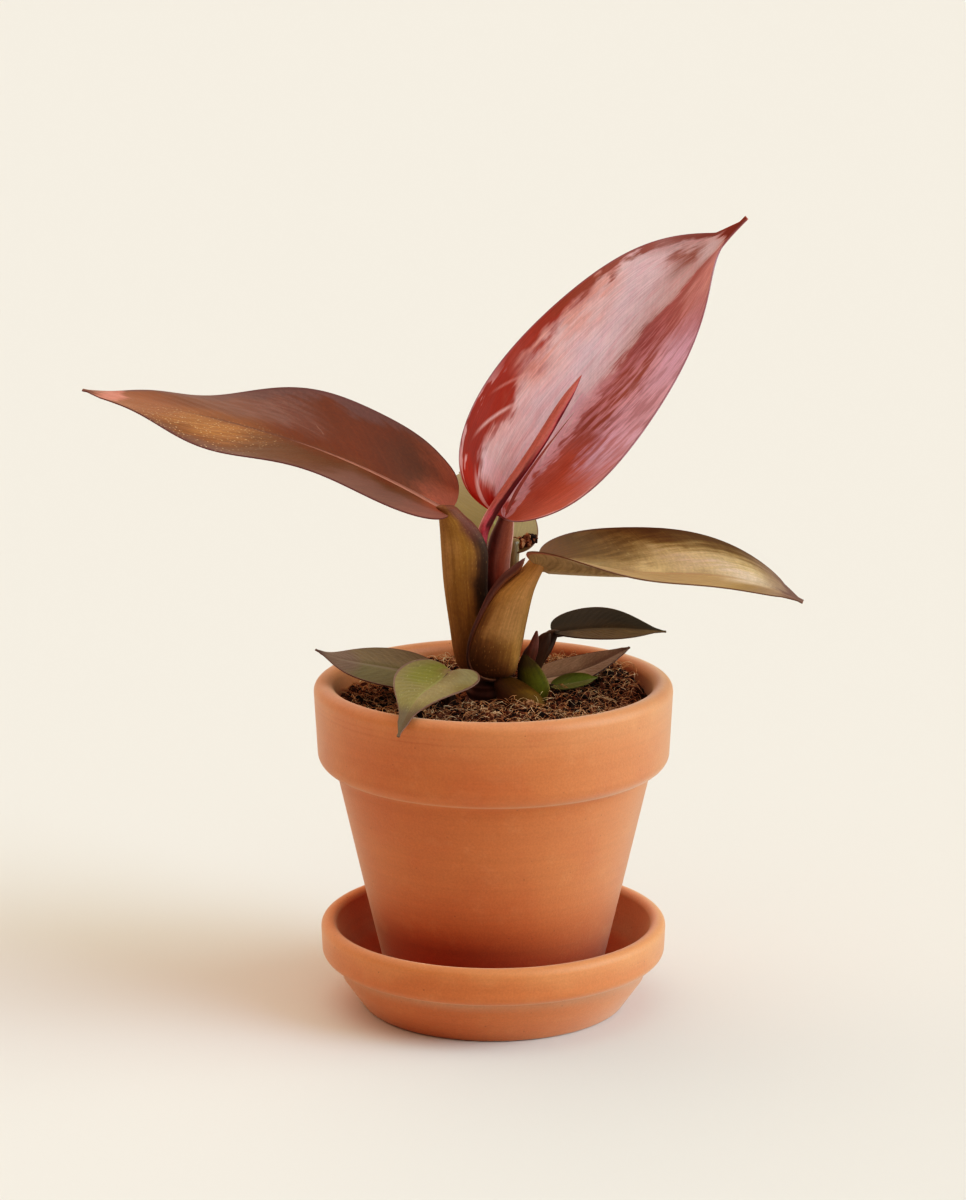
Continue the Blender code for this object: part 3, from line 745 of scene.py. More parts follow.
def dome(t: float, start: float, end: float) -> float:
    """The share of a tube's thickness near its ends, which round off over start and end."""
    low = math.sqrt(max(0.0, 1 - (1 - t / start) ** 2)) if t < start else 1.0
    high = math.sqrt(max(0.0, 1 - (1 - (1 - t) / end) ** 2)) if t > 1 - end else 1.0
    return low * high


@dataclass(frozen=True)
class Touch:
    """A place where a blade's margin stands out or in: its side, its station, its reach and how far."""

    side: int
    at: float
    reach: float
    amount: float


@dataclass(frozen=True)
class BladeForm:
    """The form of a leaf's blade, folded along a curved midrib.

    Widths are measured from the midrib. Pairs go from the base to the tip, and angles are in degrees. A wave
    has its height, its number along the blade and its phase. The body narrows by its powers towards the
    base and towards body_end, from where the drip tip goes on alone. The crease is how round the fold is,
    the groove how deep the midrib lies, and thin the margins' share of the thickness.
    """

    midrib: tuple[Point, ...]
    half_width: float
    base_power: float
    tip_power: float
    body_end: float
    drip_width: float
    roll: Pair
    fold: Pair
    sweep: Pair
    left_wave: Triple = (0.0, 1.0, 0.0)
    right_wave: Triple = (0.0, 1.0, 0.0)
    touches: tuple[Touch, ...] = ()
    crease: float = 0.05
    groove: float = 0.35
    groove_width: float = 0.9
    pleats: int = 17
    pleat_depth: float = 0.07
    pleat_slant: float = 0.16
    thickness: float = 1.0
    thin: float = 0.4
    blunt_tip: float = 0.25
    touch_fade: float = 3.0
    least_width: float = 0.05
    rib_share: float = 0.12
    flesh: float = 0.35

    def widths(self, t: float) -> Pair:
        """The half widths of the blade's body and of its drip tip at a station t."""
        u = min(t / self.body_end, 1.0)
        a, b = self.base_power, self.tip_power
        peak = (a / (a + b)) ** a * (b / (a + b)) ** b
        body = self.half_width * u ** a * (1 - u) ** b / peak
        drip = self.drip_width * u ** 2 * min(max((1 - t) / (1 - self.body_end), self.blunt_tip), 1.0)
        return body, drip

    def spine(self, t: float) -> tuple[Vector, Vector, Vector, Vector]:
        """The midrib's point at a station, with its direction, the side direction and the face's normal."""
        point, direction = bezier([Vector(p) for p in self.midrib], t)
        side = direction.cross(UP).normalized()
        normal = side.cross(direction)
        roll = math.radians(between(self.roll, t))
        turned_side = side * math.cos(roll) + normal * math.sin(roll)
        turned_normal = normal * math.cos(roll) - side * math.sin(roll)
        return point, direction, turned_side, turned_normal

    def spot(self, t: float, s: float) -> Vector:
        """A point of the blade's upper face.

        Args:
            t: From the base at 0 to the tip at 1.
            s: From the left margin at -1 to the right one at 1.

        Returns:
            The point, in millimetres.
        """
        point, direction, side, normal = self.spine(t)
        body, drip = self.widths(t)
        side_sign = 1 if s > 0 else -1
        reach = sum(touch.amount * bell(t, touch.at, touch.reach) for touch in self.touches
                    if touch.side == side_sign)
        width = max(body + drip + reach * min(1.0, body / self.touch_fade), self.least_width)
        out = abs(s)
        fold = math.radians(between(self.fold, t))
        sweep = math.tan(math.radians(between(self.sweep, t ** 0.6)))
        height, waves, phase = self.right_wave if s > 0 else self.left_wave
        wave = height * out ** 2 * math.sin(math.tau * (waves * t + phase)) * math.sin(math.pi * t)
        lift = math.sqrt(out * out + self.crease ** 2) - self.crease
        rise = width * lift * math.sin(fold) + wave
        rise -= self.groove * bell(width * out, 0.0, self.groove_width) * (1 - t) ** 0.5
        pleat = math.sin(math.tau * self.pleats * (t - self.pleat_slant * out))
        fade = math.sin(math.pi * min(t / 0.9, 1.0))
        rise += self.pleat_depth * pleat * fade * out * (1 - out) * 4
        across = math.copysign(width * out * math.cos(fold), s)
        return point + side * across + normal * rise - direction * (body * sweep * out ** 1.5)

    def fullness(self, t: float, out: float) -> float:
        """The share of its thickness that the blade has at a station, that far out from the midrib."""
        rib = max(0.0, 1 - out / self.rib_share) * (1 - 0.7 * t)
        return min(rib + self.flesh * (1 - out ** 2) * (1 - 0.5 * t), 1.0)

    def length(self) -> float:
        """The midrib's length."""
        steps = 24
        return path_length([self.spine(i / steps)[0] for i in range(steps + 1)])


@dataclass(frozen=True)
class StalkForm:
    """A stalk or sheath lofted through level ovals.

    A station is x, y, z, half the width and half the depth, from the bottom up. turn swings the ovals round
    the vertical, in degrees, and s is 0 at the side that faces the camera.
    """

    stations: tuple[Row, ...]
    turn: float = 0.0
    start_round: float = 0.02
    end_round: float = 0.04
    seam: float = 0.0
    seam_reach: Pair = (0.04, 0.9)

    def spot(self, t: float, s: float) -> Vector:
        """A point of the stalk's skin, which steps in by the seam's share right of its front line."""
        x, y, z, half_width, half_depth = smooth_row(self.stations, t)
        share = dome(t, self.start_round, self.end_round)
        if self.seam_reach[0] < s < self.seam_reach[1]:
            share *= 1 - self.seam
        angle = math.pi * s - math.pi / 2
        across = half_width * share * math.cos(angle)
        deep = half_depth * share * math.sin(angle)
        turn = math.radians(self.turn)
        return Vector((x + across * math.cos(turn) - deep * math.sin(turn),
                       y + across * math.sin(turn) + deep * math.cos(turn), z))


@dataclass(frozen=True)
class TubeForm:
    """A tube whose rings stand square to its path. A row is x, y, z and the radius.

    flatness squeezes the rings towards the plane in which the path bends.
    """

    path: tuple[Row, ...]
    flatness: float = 1.0
    start_round: float = 0.05
    end_round: float = 0.08
    step: float = 0.01

    def spot(self, t: float, s: float) -> Vector:
        """A point of the tube's skin."""
        x, y, z, radius = smooth_row(self.path, t)
        ahead = Vector(smooth_row(self.path, min(t + self.step, 1.0))[:3])
        behind = Vector(smooth_row(self.path, max(t - self.step, 0.0))[:3])
        direction = (ahead - behind).normalized()
        side = direction.cross(Vector((0.0, 1.0, 0.0))).normalized()
        rise = side.cross(direction)
        angle = math.pi * s - math.pi / 2
        share = radius * dome(t, self.start_round, self.end_round)
        across = side * (share * self.flatness * math.cos(angle))
        return Vector((x, y, z)) + across + rise * (share * math.sin(angle))


def crowd(x: float, y: float) -> Pair:
    """Crowd a blade's rows towards both ends and its columns towards the margins.

    Args:
        x: Where an even grid has the point across, from -1 to 1.
        y: Where it has it along, from -1 to 1.

    Returns:
        The point's station from 0 to 1 and its share from -1 to 1.
    """
    t = (y + 1) / 2
    return 0.35 * t + 0.65 * (1 - math.cos(math.pi * t)) / 2, 0.7 * x + 0.3 * math.sin(math.pi * x / 2)


@dataclass
class PlantPiece:
    """A piece of the plant that stands for one node: a blade, its stalks, or both in one.

    Every second tube takes the edge's finish. The keel is the midrib below the blade, given by its radius.
    """

    node: str
    slot: Slot
    blade: BladeForm | None = None
    tubes: tuple[StalkForm | TubeForm, ...] = ()
    face: LeafFinish | None = None
    back: LeafFinish | None = None
    stalk: LeafFinish | None = None
    edge: LeafFinish | None = None
    rows: int = 120
    columns: int = 48
    tube_rows: int = 48
    tube_columns: int = 32
    keel: float = 0.0
    keel_stations: int = 9
    keel_reach: Pair = (0.005, 0.905)
    keel_taper: float = 0.85

    def build(self) -> bpy.types.Object:
        """Model the piece, dress it and settle it on the body."""
        parts = []
        if self.blade is not None:
            parts.append(self.blade_mesh(self.blade))
            if self.keel:
                parts.append(self.tube_mesh(self.keel_form(self.blade), "keel", self.stalk))
        for i, form in enumerate(self.tubes):
            finish = self.edge if self.edge is not None and i % 2 == 1 else self.stalk
            parts.append(self.tube_mesh(form, str(i), finish))
        piece = join(parts)
        smooth(piece)
        return settle(piece, self.slot, self.node)

    def blade_mesh(self, form: BladeForm) -> bpy.types.Object:
        """Lay a grid on the blade's upper face and thicken it downwards, most along the midrib."""
        piece = lay_grid(f"fine_{self.node}", self.columns, self.rows, lambda x, y: form.spot(*crowd(x, y)))
        group = piece.vertex_groups.new(name="fullness")
        corners = piece.data.uv_layers[0].data
        places = [crowd(2 * corner.uv.x - 1, 2 * corner.uv.y - 1) for corner in corners]
        for corner, (t, s) in zip(corners, places):
            corner.uv = ((s + 1) / 2, t)
        for loop, (t, s) in zip(piece.data.loops, places):
            group.add([loop.vertex_index], form.fullness(t, abs(s)), "REPLACE")
        for finish in (self.face, self.back):
            piece.data.materials.append(finish.material(form.length(), form.half_width))
        apply_modifier(piece, "SOLIDIFY", thickness=form.thickness * MM, offset=-1.0, vertex_group=group.name,
                       thickness_vertex_group=form.thin, material_offset=1, use_even_offset=False)
        piece.vertex_groups.clear()
        return piece

    def keel_form(self, form: BladeForm) -> TubeForm:
        """The midrib that stands out below the blade, tapering from the stalk to the tip."""
        rows = []
        for i in range(self.keel_stations):
            t = between(self.keel_reach, i / (self.keel_stations - 1))
            point, _, _, normal = form.spine(t)
            radius = self.keel * (1 - self.keel_taper * t)
            rows.append((*(point - normal * (0.7 + radius * 0.45)), radius))
        return TubeForm(tuple(rows), start_round=0.01, end_round=0.02)

    def tube_mesh(self, form: StalkForm | TubeForm, name: str, finish: LeafFinish) -> bpy.types.Object:
        """Lay a grid round a stalk or tube, close it and dress it."""
        piece = lay_grid(f"fine_{self.node}_{name}", self.tube_columns, self.tube_rows,
                         lambda x, y: form.spot((y + 1) / 2, x))
        close_tube(piece)
        length = path_length([form.spot(0.02, 0.0), form.spot(0.98, 0.0)])
        girth = path_length([form.spot(0.5, i / 12 - 1) for i in range(25)])
        piece.data.materials.append(finish.material(length, girth / 2))
        return piece


@dataclass
class SmallLeaf(PlantPiece):
    """A small leaf on its own thin stalk."""

    tube_rows: int = 24
    tube_columns: int = 20


def arc(centre: Pair, radius: float, start: float, end: float, steps: int) -> list[Pair]:
    """Points of an arc in the plane of radius and height.

    Args:
        centre: The arc's centre.
        radius: Its radius.
        start: The angle of the first point in degrees, from outwards at 0 to up at 90.
        end: The angle of the last one.
        steps: How many parts it has.

    Returns:
        The points, from start to end.
    """
    angles = [math.radians(start + (end - start) * i / steps) for i in range(steps + 1)]
    return [(centre[0] + radius * math.cos(a), centre[1] + radius * math.sin(a)) for a in angles]


@dataclass
class ClayVessel:
    """A clay vessel turned on a wheel, drawn up ring by ring."""

    finish: ClayFinish
    slot: Slot = Slot.POT
    node: str = "pot"
    sides: int = 192
    wobble: float = 0.10
    wobble_scales: Pair = (22.0, 60.0)

    def profile(self) -> list[Pair]:
        """The outline in radius and height, on from one ring to the next."""
        raise NotImplementedError

    def is_ring(self) -> bool:
        """Whether the outline closes on itself, as round a hole, and has no poles."""
        return False

    def build(self) -> bpy.types.Object:
        """Turn the vessel, dress it and settle it on the body."""
        piece = self.turned()
        coarse, fine = self.wobble_scales
        for vertex in piece.data.vertices:
            away = Vector((vertex.co.x, vertex.co.y, 0.0))
            shift = noise.noise(vertex.co * coarse) + 0.5 * noise.noise(vertex.co * fine)
            if away.length > 2 * MM:
                vertex.co += away.normalized() * (shift * self.wobble * MM)
        piece.data.materials.append(self.finish.material())
        smooth(piece, 40.0)
        return settle(piece, self.slot, self.node)

    def turned(self) -> bpy.types.Object:
        """Draw the outline up from a circle: extrude a ring, then bring it to its height and radius."""
        rings = self.profile()
        radius, height = rings[0]
        deselect_all()
        bpy.ops.mesh.primitive_circle_add(vertices=self.sides, radius=radius * MM,
                                          location=(0.0, 0.0, height * MM),
                                          fill_type="NOTHING" if self.is_ring() else "TRIFAN")
        piece = bpy.context.object
        piece.name = f"fine_{self.node}"
        piece.data.name = piece.name
        bpy.ops.object.transform_apply(location=True, rotation=False, scale=False)
        bpy.ops.object.mode_set(mode="EDIT")
        mesh = bmesh.from_edit_mesh(piece.data)
        for vertex in mesh.verts:
            vertex.select = vertex.co.xy.length > 0.5 * radius * MM
        mesh.select_flush_mode()
        for (old, low), (new, high) in zip(rings, rings[1:]):
            bpy.ops.mesh.extrude_region_move(TRANSFORM_OT_translate={"value": (0.0, 0.0, (high - low) * MM)})
            bpy.ops.transform.resize(value=(new / old, new / old, 1.0), center_override=(0.0, 0.0, 0.0))
        if not self.is_ring():
            bpy.ops.mesh.extrude_region_move(TRANSFORM_OT_translate={"value": (0.0, 0.0, 0.0)})
            bpy.ops.mesh.merge(type="CENTER")
        bpy.ops.mesh.select_all(action="SELECT")
        bpy.ops.mesh.remove_doubles(threshold=MERGE * MM)
        bpy.ops.mesh.normals_make_consistent(inside=False)
        bpy.ops.object.mode_set(mode="OBJECT")
        return piece


@dataclass
class Saucer(ClayVessel):
    """The saucer: a footed dish with a rolled rim and a raised band."""

    slot: Slot = Slot.SAUCER
    node: str = "saucer"
    height: float = 27.8
    rim_radius: float = 55.4
    lip: float = 2.5
    band_radius: float = 55.1
    band_bottom: float = 15.6
    band_rounding: float = 3.0
    band_step: Pair = (0.5, 0.45)
    body_radius: float = 50.4
    body_top: float = 15.0
    body_bend: Pair = (48.6, 9.5)
    foot_radius: float = 42.9
    foot_rounding: float = 2.0
    floor: float = 5.0
    floor_radius: float = 39.0
    hollow_rounding: float = 4.0
    wall: float = 2.4

    def profile(self) -> list[Pair]:
        """From the floor inside, over the rim, to the underside."""
        hollow = (self.floor_radius, self.floor + self.hollow_rounding)
        rings = arc(hollow, self.hollow_rounding, -90, -20, 8)
        rings += [(self.body_radius - self.wall, self.band_bottom)]
        rings += arc((self.rim_radius - self.lip, self.height - self.lip), self.lip, 180, 0, 16)
        rings += arc((self.band_radius - self.band_rounding, self.band_bottom + self.band_rounding),
                     self.band_rounding, 0, -90, 10)
        step, drop = self.band_step
        rings += [(self.body_radius + step, self.body_top + drop), (self.body_radius, self.body_top)]
        rings += [self.body_bend]
        foot = (self.foot_radius - self.foot_rounding, self.foot_rounding)
        return rings + arc(foot, self.foot_rounding, -25, -90, 8)


@dataclass
class Pot(ClayVessel):
    """The pot: a tapered body under a broad band, with a hole in its floor."""

    foot: float = 5.3
    top: float = 106.4
    rim_radius: float = 57.0
    lip: float = 3.3
    band_radius: float = 56.0
    band_bottom: float = 78.8
    band_rounding: float = 4.8
    body_radius: float = 49.9
    body_top: float = 78.4
    band_fillet: tuple[Pair, ...] = ((1.8, 0.4), (0.9, -0.1), (0.35, -0.7), (0.05, -1.6), (-0.25, -2.8))
    body_middle: Pair = (41.8, 41.0)
    foot_radius: float = 34.0
    foot_rounding: float = 2.0
    floor: float = 11.3
    hole_radius: float = 6.0
    inside: tuple[Pair, ...] = ((28.6, 11.3), (46.8, 80.0), (50.4, 103.1))

    def is_ring(self) -> bool:
        """The outline runs round the wall and back through the hole."""
        return True

    def profile(self) -> list[Pair]:
        """From the top of the lip, down the outside, through the hole and up the inside."""
        crest = (self.rim_radius - self.lip, self.top - self.lip)
        rings = arc(crest, self.lip, 90, -5, 14)
        rings += arc((self.band_radius - self.band_rounding, self.band_bottom + self.band_rounding),
                     self.band_rounding, 0, -70, 12)
        rings += [(self.body_radius + out, self.body_top + up) for out, up in self.band_fillet]
        rings += [self.body_middle]
        rings += arc((self.foot_radius - self.foot_rounding, self.foot + self.foot_rounding),
                     self.foot_rounding, -15, -90, 8)
        rings += [(self.hole_radius, self.foot), (self.hole_radius, self.floor)]
        rings += list(self.inside)
        rings += arc(crest, self.lip, 180, 90, 12)[1:]
        return rings


@dataclass(frozen=True)
class Crumbs:
    """Angular crumbs or stones, strewn over the soil and once more over a slanted patch.

    The patch is given by its corner and its two sides. The smaller the squeeze, the more of the crumbs are
    small. Their dents have a depth and a scale.
    """

    name: str
    finish: EarthFinish
    count: int
    sizes: Pair
    squeeze: float
    patch: tuple[Point, Point, Point]
    patch_count: int
    gap: float = 1.8
    kinds: int = 6
    stretch: tuple[Pair, Pair, Pair] = ((0.8, 1.3), (0.6, 1.0), (0.5, 0.8))
    dents: Pair = (0.45, 1.7)
    lifts: Pair = (-0.1, 0.5)
    palest: float = 0.82

    def on_patch(self) -> list[Vector]:
        """Random places on the patch."""
        corner, across, deep = (Vector(p) for p in self.patch)
        return [corner + across * random.random() + deep * random.random() for _ in range(self.patch_count)]

    def shapes(self) -> list[tuple[list[Vector], list[tuple[int, ...]]]]:
        """Model a crumb of each kind: a small ball, stretched and dented in its own way."""
        shapes = []
        depth, scale = self.dents
        for i in range(self.kinds):
            deselect_all()
            bpy.ops.mesh.primitive_ico_sphere_add(subdivisions=1, radius=1.0)
            crumb = bpy.context.object
            stretch = Vector([random.uniform(*span) for span in self.stretch])
            points = [v.co * (1 + depth * noise.noise(v.co * scale + Vector((i * 5.0, 0, 0)))) * stretch
                      for v in crumb.data.vertices]
            shapes.append((points, [tuple(p.vertices) for p in crumb.data.polygons]))
            bpy.data.objects.remove(crumb)
        return shapes


@dataclass(frozen=True)
class Fibres:
    """Short curly fibres of coir, with the smallest and the largest of what is drawn at random."""

    finish: EarthFinish
    name: str = "soil_fibres"
    count: int = 4200
    lengths: Pair = (1.6, 8.5)
    radii: Pair = (0.07, 0.15)
    lifts: Pair = (0.2, 1.6)
    tones: Pair = (0.35, 1.0)
    curl: float = 0.7
    wander: float = 0.3
    steps: int = 7
    gap: float = 2.5

    def path(self, spot: Vector) -> list[Vector]:
        """Lead a curly path away from a place on the ground."""
        length = random.uniform(*self.lengths)
        heading = random.uniform(0, math.tau)
        curl = random.uniform(-self.curl, self.curl)
        climb = random.uniform(0.0, 1.0)
        path = [spot + Vector((0.0, 0.0, random.uniform(*self.lifts)))]
        for i in range(self.steps):
            heading += curl + random.uniform(-self.wander, self.wander)
            step = Vector((math.cos(heading), math.sin(heading), climb * math.cos(i * 0.7)))
            path.append(path[-1] + step * (length / self.steps))
        return path


@dataclass(frozen=True)
class Roots:
    """The few long pale roots. A row of a path is x, y and the height above the ground."""

    finish: EarthFinish
    paths: tuple[tuple[Point, ...], ...]
    name: str = "pale_roots"
    radius: float = 0.28
    tone: float = 0.8
    steps: int = 24


@dataclass
class SoilBed:
    """The potting mix: a lumpy ground with crumbs, curly fibres, white lumps and pale roots on it.

    Each of the four reliefs has its height and its scale, and they calm down towards the pot's wall. A heap
    has its place, its reach and its height.
    """

    finish: EarthFinish
    crumbs: tuple[Crumbs, ...]
    fibres: Fibres
    roots: Roots
    node: str = "soil"
    radius: float = 49.7
    bottom: float = 93.0
    grid: int = 150
    swell: Pair = (1.7, 0.11)
    ridges: Pair = (1.6, 0.28)
    lumps: Pair = (1.2, 0.6)
    grit: Pair = (0.6, 1.3)
    level_below: float = 98.0
    sunk: float = 0.8
    calm: Pair = (45.0, 49.0)
    least_relief: float = 0.3
    heaps: tuple[Row, ...] = (
        (5.0, -13.0, 11.0, 3.6), (20.0, 40.0, 15.0, 4.4), (-14.0, 42.0, 15.0, 3.6), (22.0, -4.0, 9.0, 1.6),
        (38.0, 18.0, 14.0, 5.0), (-40.0, 0.0, 14.0, 3.0),
    )
    ground_tone: float = 0.28
    tone_contrast: float = 0.5
    tone_scale: float = 450.0
    wall_gap: float = 0.8
    clearance: float = 0.05
    thread_sides: int = 3
    thread_taper: float = 0.75
    seed: int = 7
    ground: BVHTree = field(init=False)

    def build(self) -> None:
        """Model the ground from the plain solid's heights, then scatter what lies on it."""
        random.seed(self.seed)
        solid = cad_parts[self.node].data
        self.ground = BVHTree.FromPolygons([v.co for v in solid.vertices],
                                           [tuple(p.vertices) for p in solid.polygons])
        self.build_ground()
        for crumbs in self.crumbs:
            self.scatter(crumbs)
        self.build_fibres()
        self.build_roots()

    def level(self, x: float, y: float) -> float:
        """The ground's height at a place, lumps included."""
        start = Vector((x * MM, y * MM, 0.2))
        hit = self.ground.ray_cast(start, -UP)[0]
        base = hit.z / MM if hit is not None else self.level_below
        spot = Vector((x, y, 3.0))
        swell, ridges, lumps, grit = (height * noise.noise(spot * scale) for height, scale in (
            self.swell, self.ridges, self.lumps, self.grit))
        start, end = self.calm
        inner = 1 - min(max((math.hypot(x, y) - start) / (end - start), 0.0), 1.0)
        for across, deep, reach, height in self.heaps:
            base += height * bell(math.hypot(x - across, y - deep), 0.0, reach)
        relief = swell + abs(ridges) + lumps + grit
        return base - self.sunk + relief * between((self.least_relief, 1.0), inner)

    def build_ground(self) -> None:
        """Lay a grid over the round bed and close it below."""
        def place(x: float, y: float) -> Vector:
            """Bend the square onto the disc."""
            across = x * math.sqrt(1 - y * y / 2) * self.radius
            along = y * math.sqrt(1 - x * x / 2) * self.radius
            return Vector((across, along, self.level(across, along)))

        piece = lay_grid("fine_soil", self.grid, self.grid, place)
        bpy.ops.object.mode_set(mode="EDIT")
        bpy.ops.mesh.select_all(action="DESELECT")
        mesh = bmesh.from_edit_mesh(piece.data)
        for edge in mesh.edges:
            edge.select = edge.is_boundary
        bpy.ops.mesh.extrude_region_move(TRANSFORM_OT_translate={"value": (0.0, 0.0, -0.004)})
        bpy.ops.mesh.edge_face_add()
        mesh = bmesh.from_edit_mesh(piece.data)
        for vertex in mesh.verts:
            if vertex.select:
                vertex.co.z = self.bottom * MM
        bpy.ops.mesh.select_all(action="SELECT")
        bpy.ops.mesh.normals_make_consistent(inside=False)
        bpy.ops.object.mode_set(mode="OBJECT")
        tones = piece.data.attributes.new(TONE, "FLOAT", "POINT")
        for vertex, tone in zip(piece.data.vertices, tones.data):
            hollow = noise.noise(Vector((vertex.co.x, vertex.co.y, 0.0)) * self.tone_scale)
            tone.value = self.ground_tone + self.tone_contrast * hollow
        piece.data.materials.append(self.finish.material())
        smooth(piece, 60.0)
        settle(piece, Slot.SOIL, self.node)

    def spots(self, count: int, reach: float) -> list[Vector]:
        """Random places on the bed, each on the ground."""
        found = []
        while len(found) < count:
            x, y = random.uniform(-reach, reach), random.uniform(-reach, reach)
            if math.hypot(x, y) < reach:
                found.append(Vector((x, y, self.level(x, y))))
        return found

    def scatter(self, crumbs: Crumbs) -> None:
        """Strew copies of the crumbs' few shapes over the bed and the patch."""
        spots = self.spots(crumbs.count, self.radius - crumbs.gap) + crumbs.on_patch()
        shapes = crumbs.shapes()
        points, faces, tones = [], [], []
        for spot in spots:
            radius = between(crumbs.sizes, random.random() ** (1 / crumbs.squeeze))
            shape, sides = random.choice(shapes)
            turn = Euler([random.uniform(0, math.tau) for _ in range(3)]).to_matrix()
            start = len(points)
            lift = Vector((0.0, 0.0, radius * random.uniform(*crumbs.lifts)))
            points += [(turn @ p * radius + spot + lift) * MM for p in shape]
            faces += [tuple(start + i for i in side) for side in sides]
            tones += [crumbs.palest * random.random() ** 1.5] * len(shape)
        self.lay(crumbs.name, crumbs.finish, points, faces, tones)

    def lay(self, name: str, finish: EarthFinish, points: list[Vector], faces: list[tuple[int, ...]],
            tones: list[float]) -> None:
        """Make one piece of many small ones, dress it and settle it on the body."""
        mesh = bpy.data.meshes.new(name)
        mesh.from_pydata(points, [], faces)
        mesh.attributes.new(TONE, "FLOAT", "POINT").data.foreach_set("value", tones)
        mesh.materials.append(finish.material())
        piece = bpy.data.objects.new(name, mesh)
        bpy.context.scene.collection.objects.link(piece)
        smooth(piece, 35.0)
        settle(piece, Slot.SOIL)

    def strand(self, path: Sequence[Vector], radius: float, points: list[Vector],
               faces: list[tuple[int, ...]]) -> int:
        """Add a closed thread along a path and give the number of its points."""
        start = len(points)
        last = len(path) - 1
        sides = self.thread_sides
        for i, spot in enumerate(path):
            ahead = (path[min(i + 1, last)] - path[max(i - 1, 0)]).normalized()
            side = ahead.orthogonal().normalized()
            rise = ahead.cross(side)
            thin = radius * (1.0 - self.thread_taper * (i / last) ** 2)
            for j in range(sides):
                angle = math.tau * j / sides
                points.append((spot + (side * math.cos(angle) + rise * math.sin(angle)) * thin) * MM)
        for i in range(last):
            for j in range(sides):
                a = start + sides * i + j
                b = start + sides * i + (j + 1) % sides
                faces.append((a, b, b + sides, a + sides))
        faces.append(tuple(reversed(range(start, start + sides))))
        faces.append(tuple(range(start + sides * last, start + sides * (last + 1))))
        return len(points) - start

    def build_fibres(self) -> None:
        """Strew the fibres over the bed."""
        points, faces, tones = [], [], []
        for spot in self.spots(self.fibres.count, self.radius - self.fibres.gap):
            path = [self.keep_inside(p) for p in self.fibres.path(spot)]
            count = self.strand(path, random.uniform(*self.fibres.radii), points, faces)
            tones += [between(self.fibres.tones, random.random())] * count
        self.lay(self.fibres.name, self.fibres.finish, points, faces, tones)

    def keep_inside(self, spot: Vector) -> Vector:
        """Bring a point that leaves the bed back in front of the pot's wall, and up onto the ground."""
        away = math.hypot(spot.x, spot.y)
        limit = self.radius - self.wall_gap
        if away > limit:
            spot = Vector((spot.x * limit / away, spot.y * limit / away, spot.z))
        ground = self.level(spot.x, spot.y)
        return Vector((spot.x, spot.y, max(spot.z, ground + self.clearance)))

    def build_roots(self) -> None:
        """Lay the roots along their own paths."""
        points, faces, tones = [], [], []
        roots = self.roots
        for rows in roots.paths:
            path = []
            for i in range(roots.steps + 1):
                x, y, lift = smooth_row(rows, i / roots.steps)
                path.append(Vector((x, y, self.level(x, y) + lift)))
            tones += [roots.tone] * self.strand(path, roots.radius, points, faces)
        self.lay(roots.name, roots.finish, points, faces, tones)


@dataclass
class Stem:
    """The short dark stem with the rings that old leaves have left on it."""

    finish: LeafFinish
    node: str = "stem"
    ring_pitch: float = 3.4
    ring_depth: float = 0.35
    lump_depth: float = 0.7
    highest_lump: float = 0.2
    skin: float = 0.6
    rows: int = 48
    columns: int = 72

    def build(self) -> bpy.types.Object:
        """Lay a closed tube in the plain solid's box, dress it and settle it on the body."""
        low, high = (Vector(corner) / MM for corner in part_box(self.node))
        middle = (low + high) / 2
        radius = (high.x - low.x) / 2 - 0.2

        def place(x: float, y: float) -> Vector:
            """A point of the stem's skin."""
            t = (y + 1) / 2
            z = low.z + (high.z - low.z) * t
            angle = math.pi * x - math.pi / 2
            rings = self.ring_depth * math.sin(math.tau * z / self.ring_pitch + 0.8 * math.sin(angle * 2))
            spot = Vector((math.cos(angle) * 1.5, math.sin(angle) * 1.5, z * 0.25))
            lumps = min(self.lump_depth * noise.noise(spot), self.highest_lump)
            reach = dome(t, 0.02, 0.12) * (radius - self.skin + rings + lumps)
            return Vector((middle.x + reach * math.cos(angle), middle.y + reach * math.sin(angle), z))

        piece = lay_grid(f"fine_{self.node}", self.columns, self.rows, place)
        close_tube(piece)
        piece.data.materials.append(self.finish.material(high.z - low.z, radius))
        smooth(piece)
        return settle(piece, Slot.STEM, self.node)


@dataclass(frozen=True)
class Glow:
    """A soft bright part of the room, round a direction and from one cosine to another."""

    colour: Triple
    towards: Triple
    edge: Pair


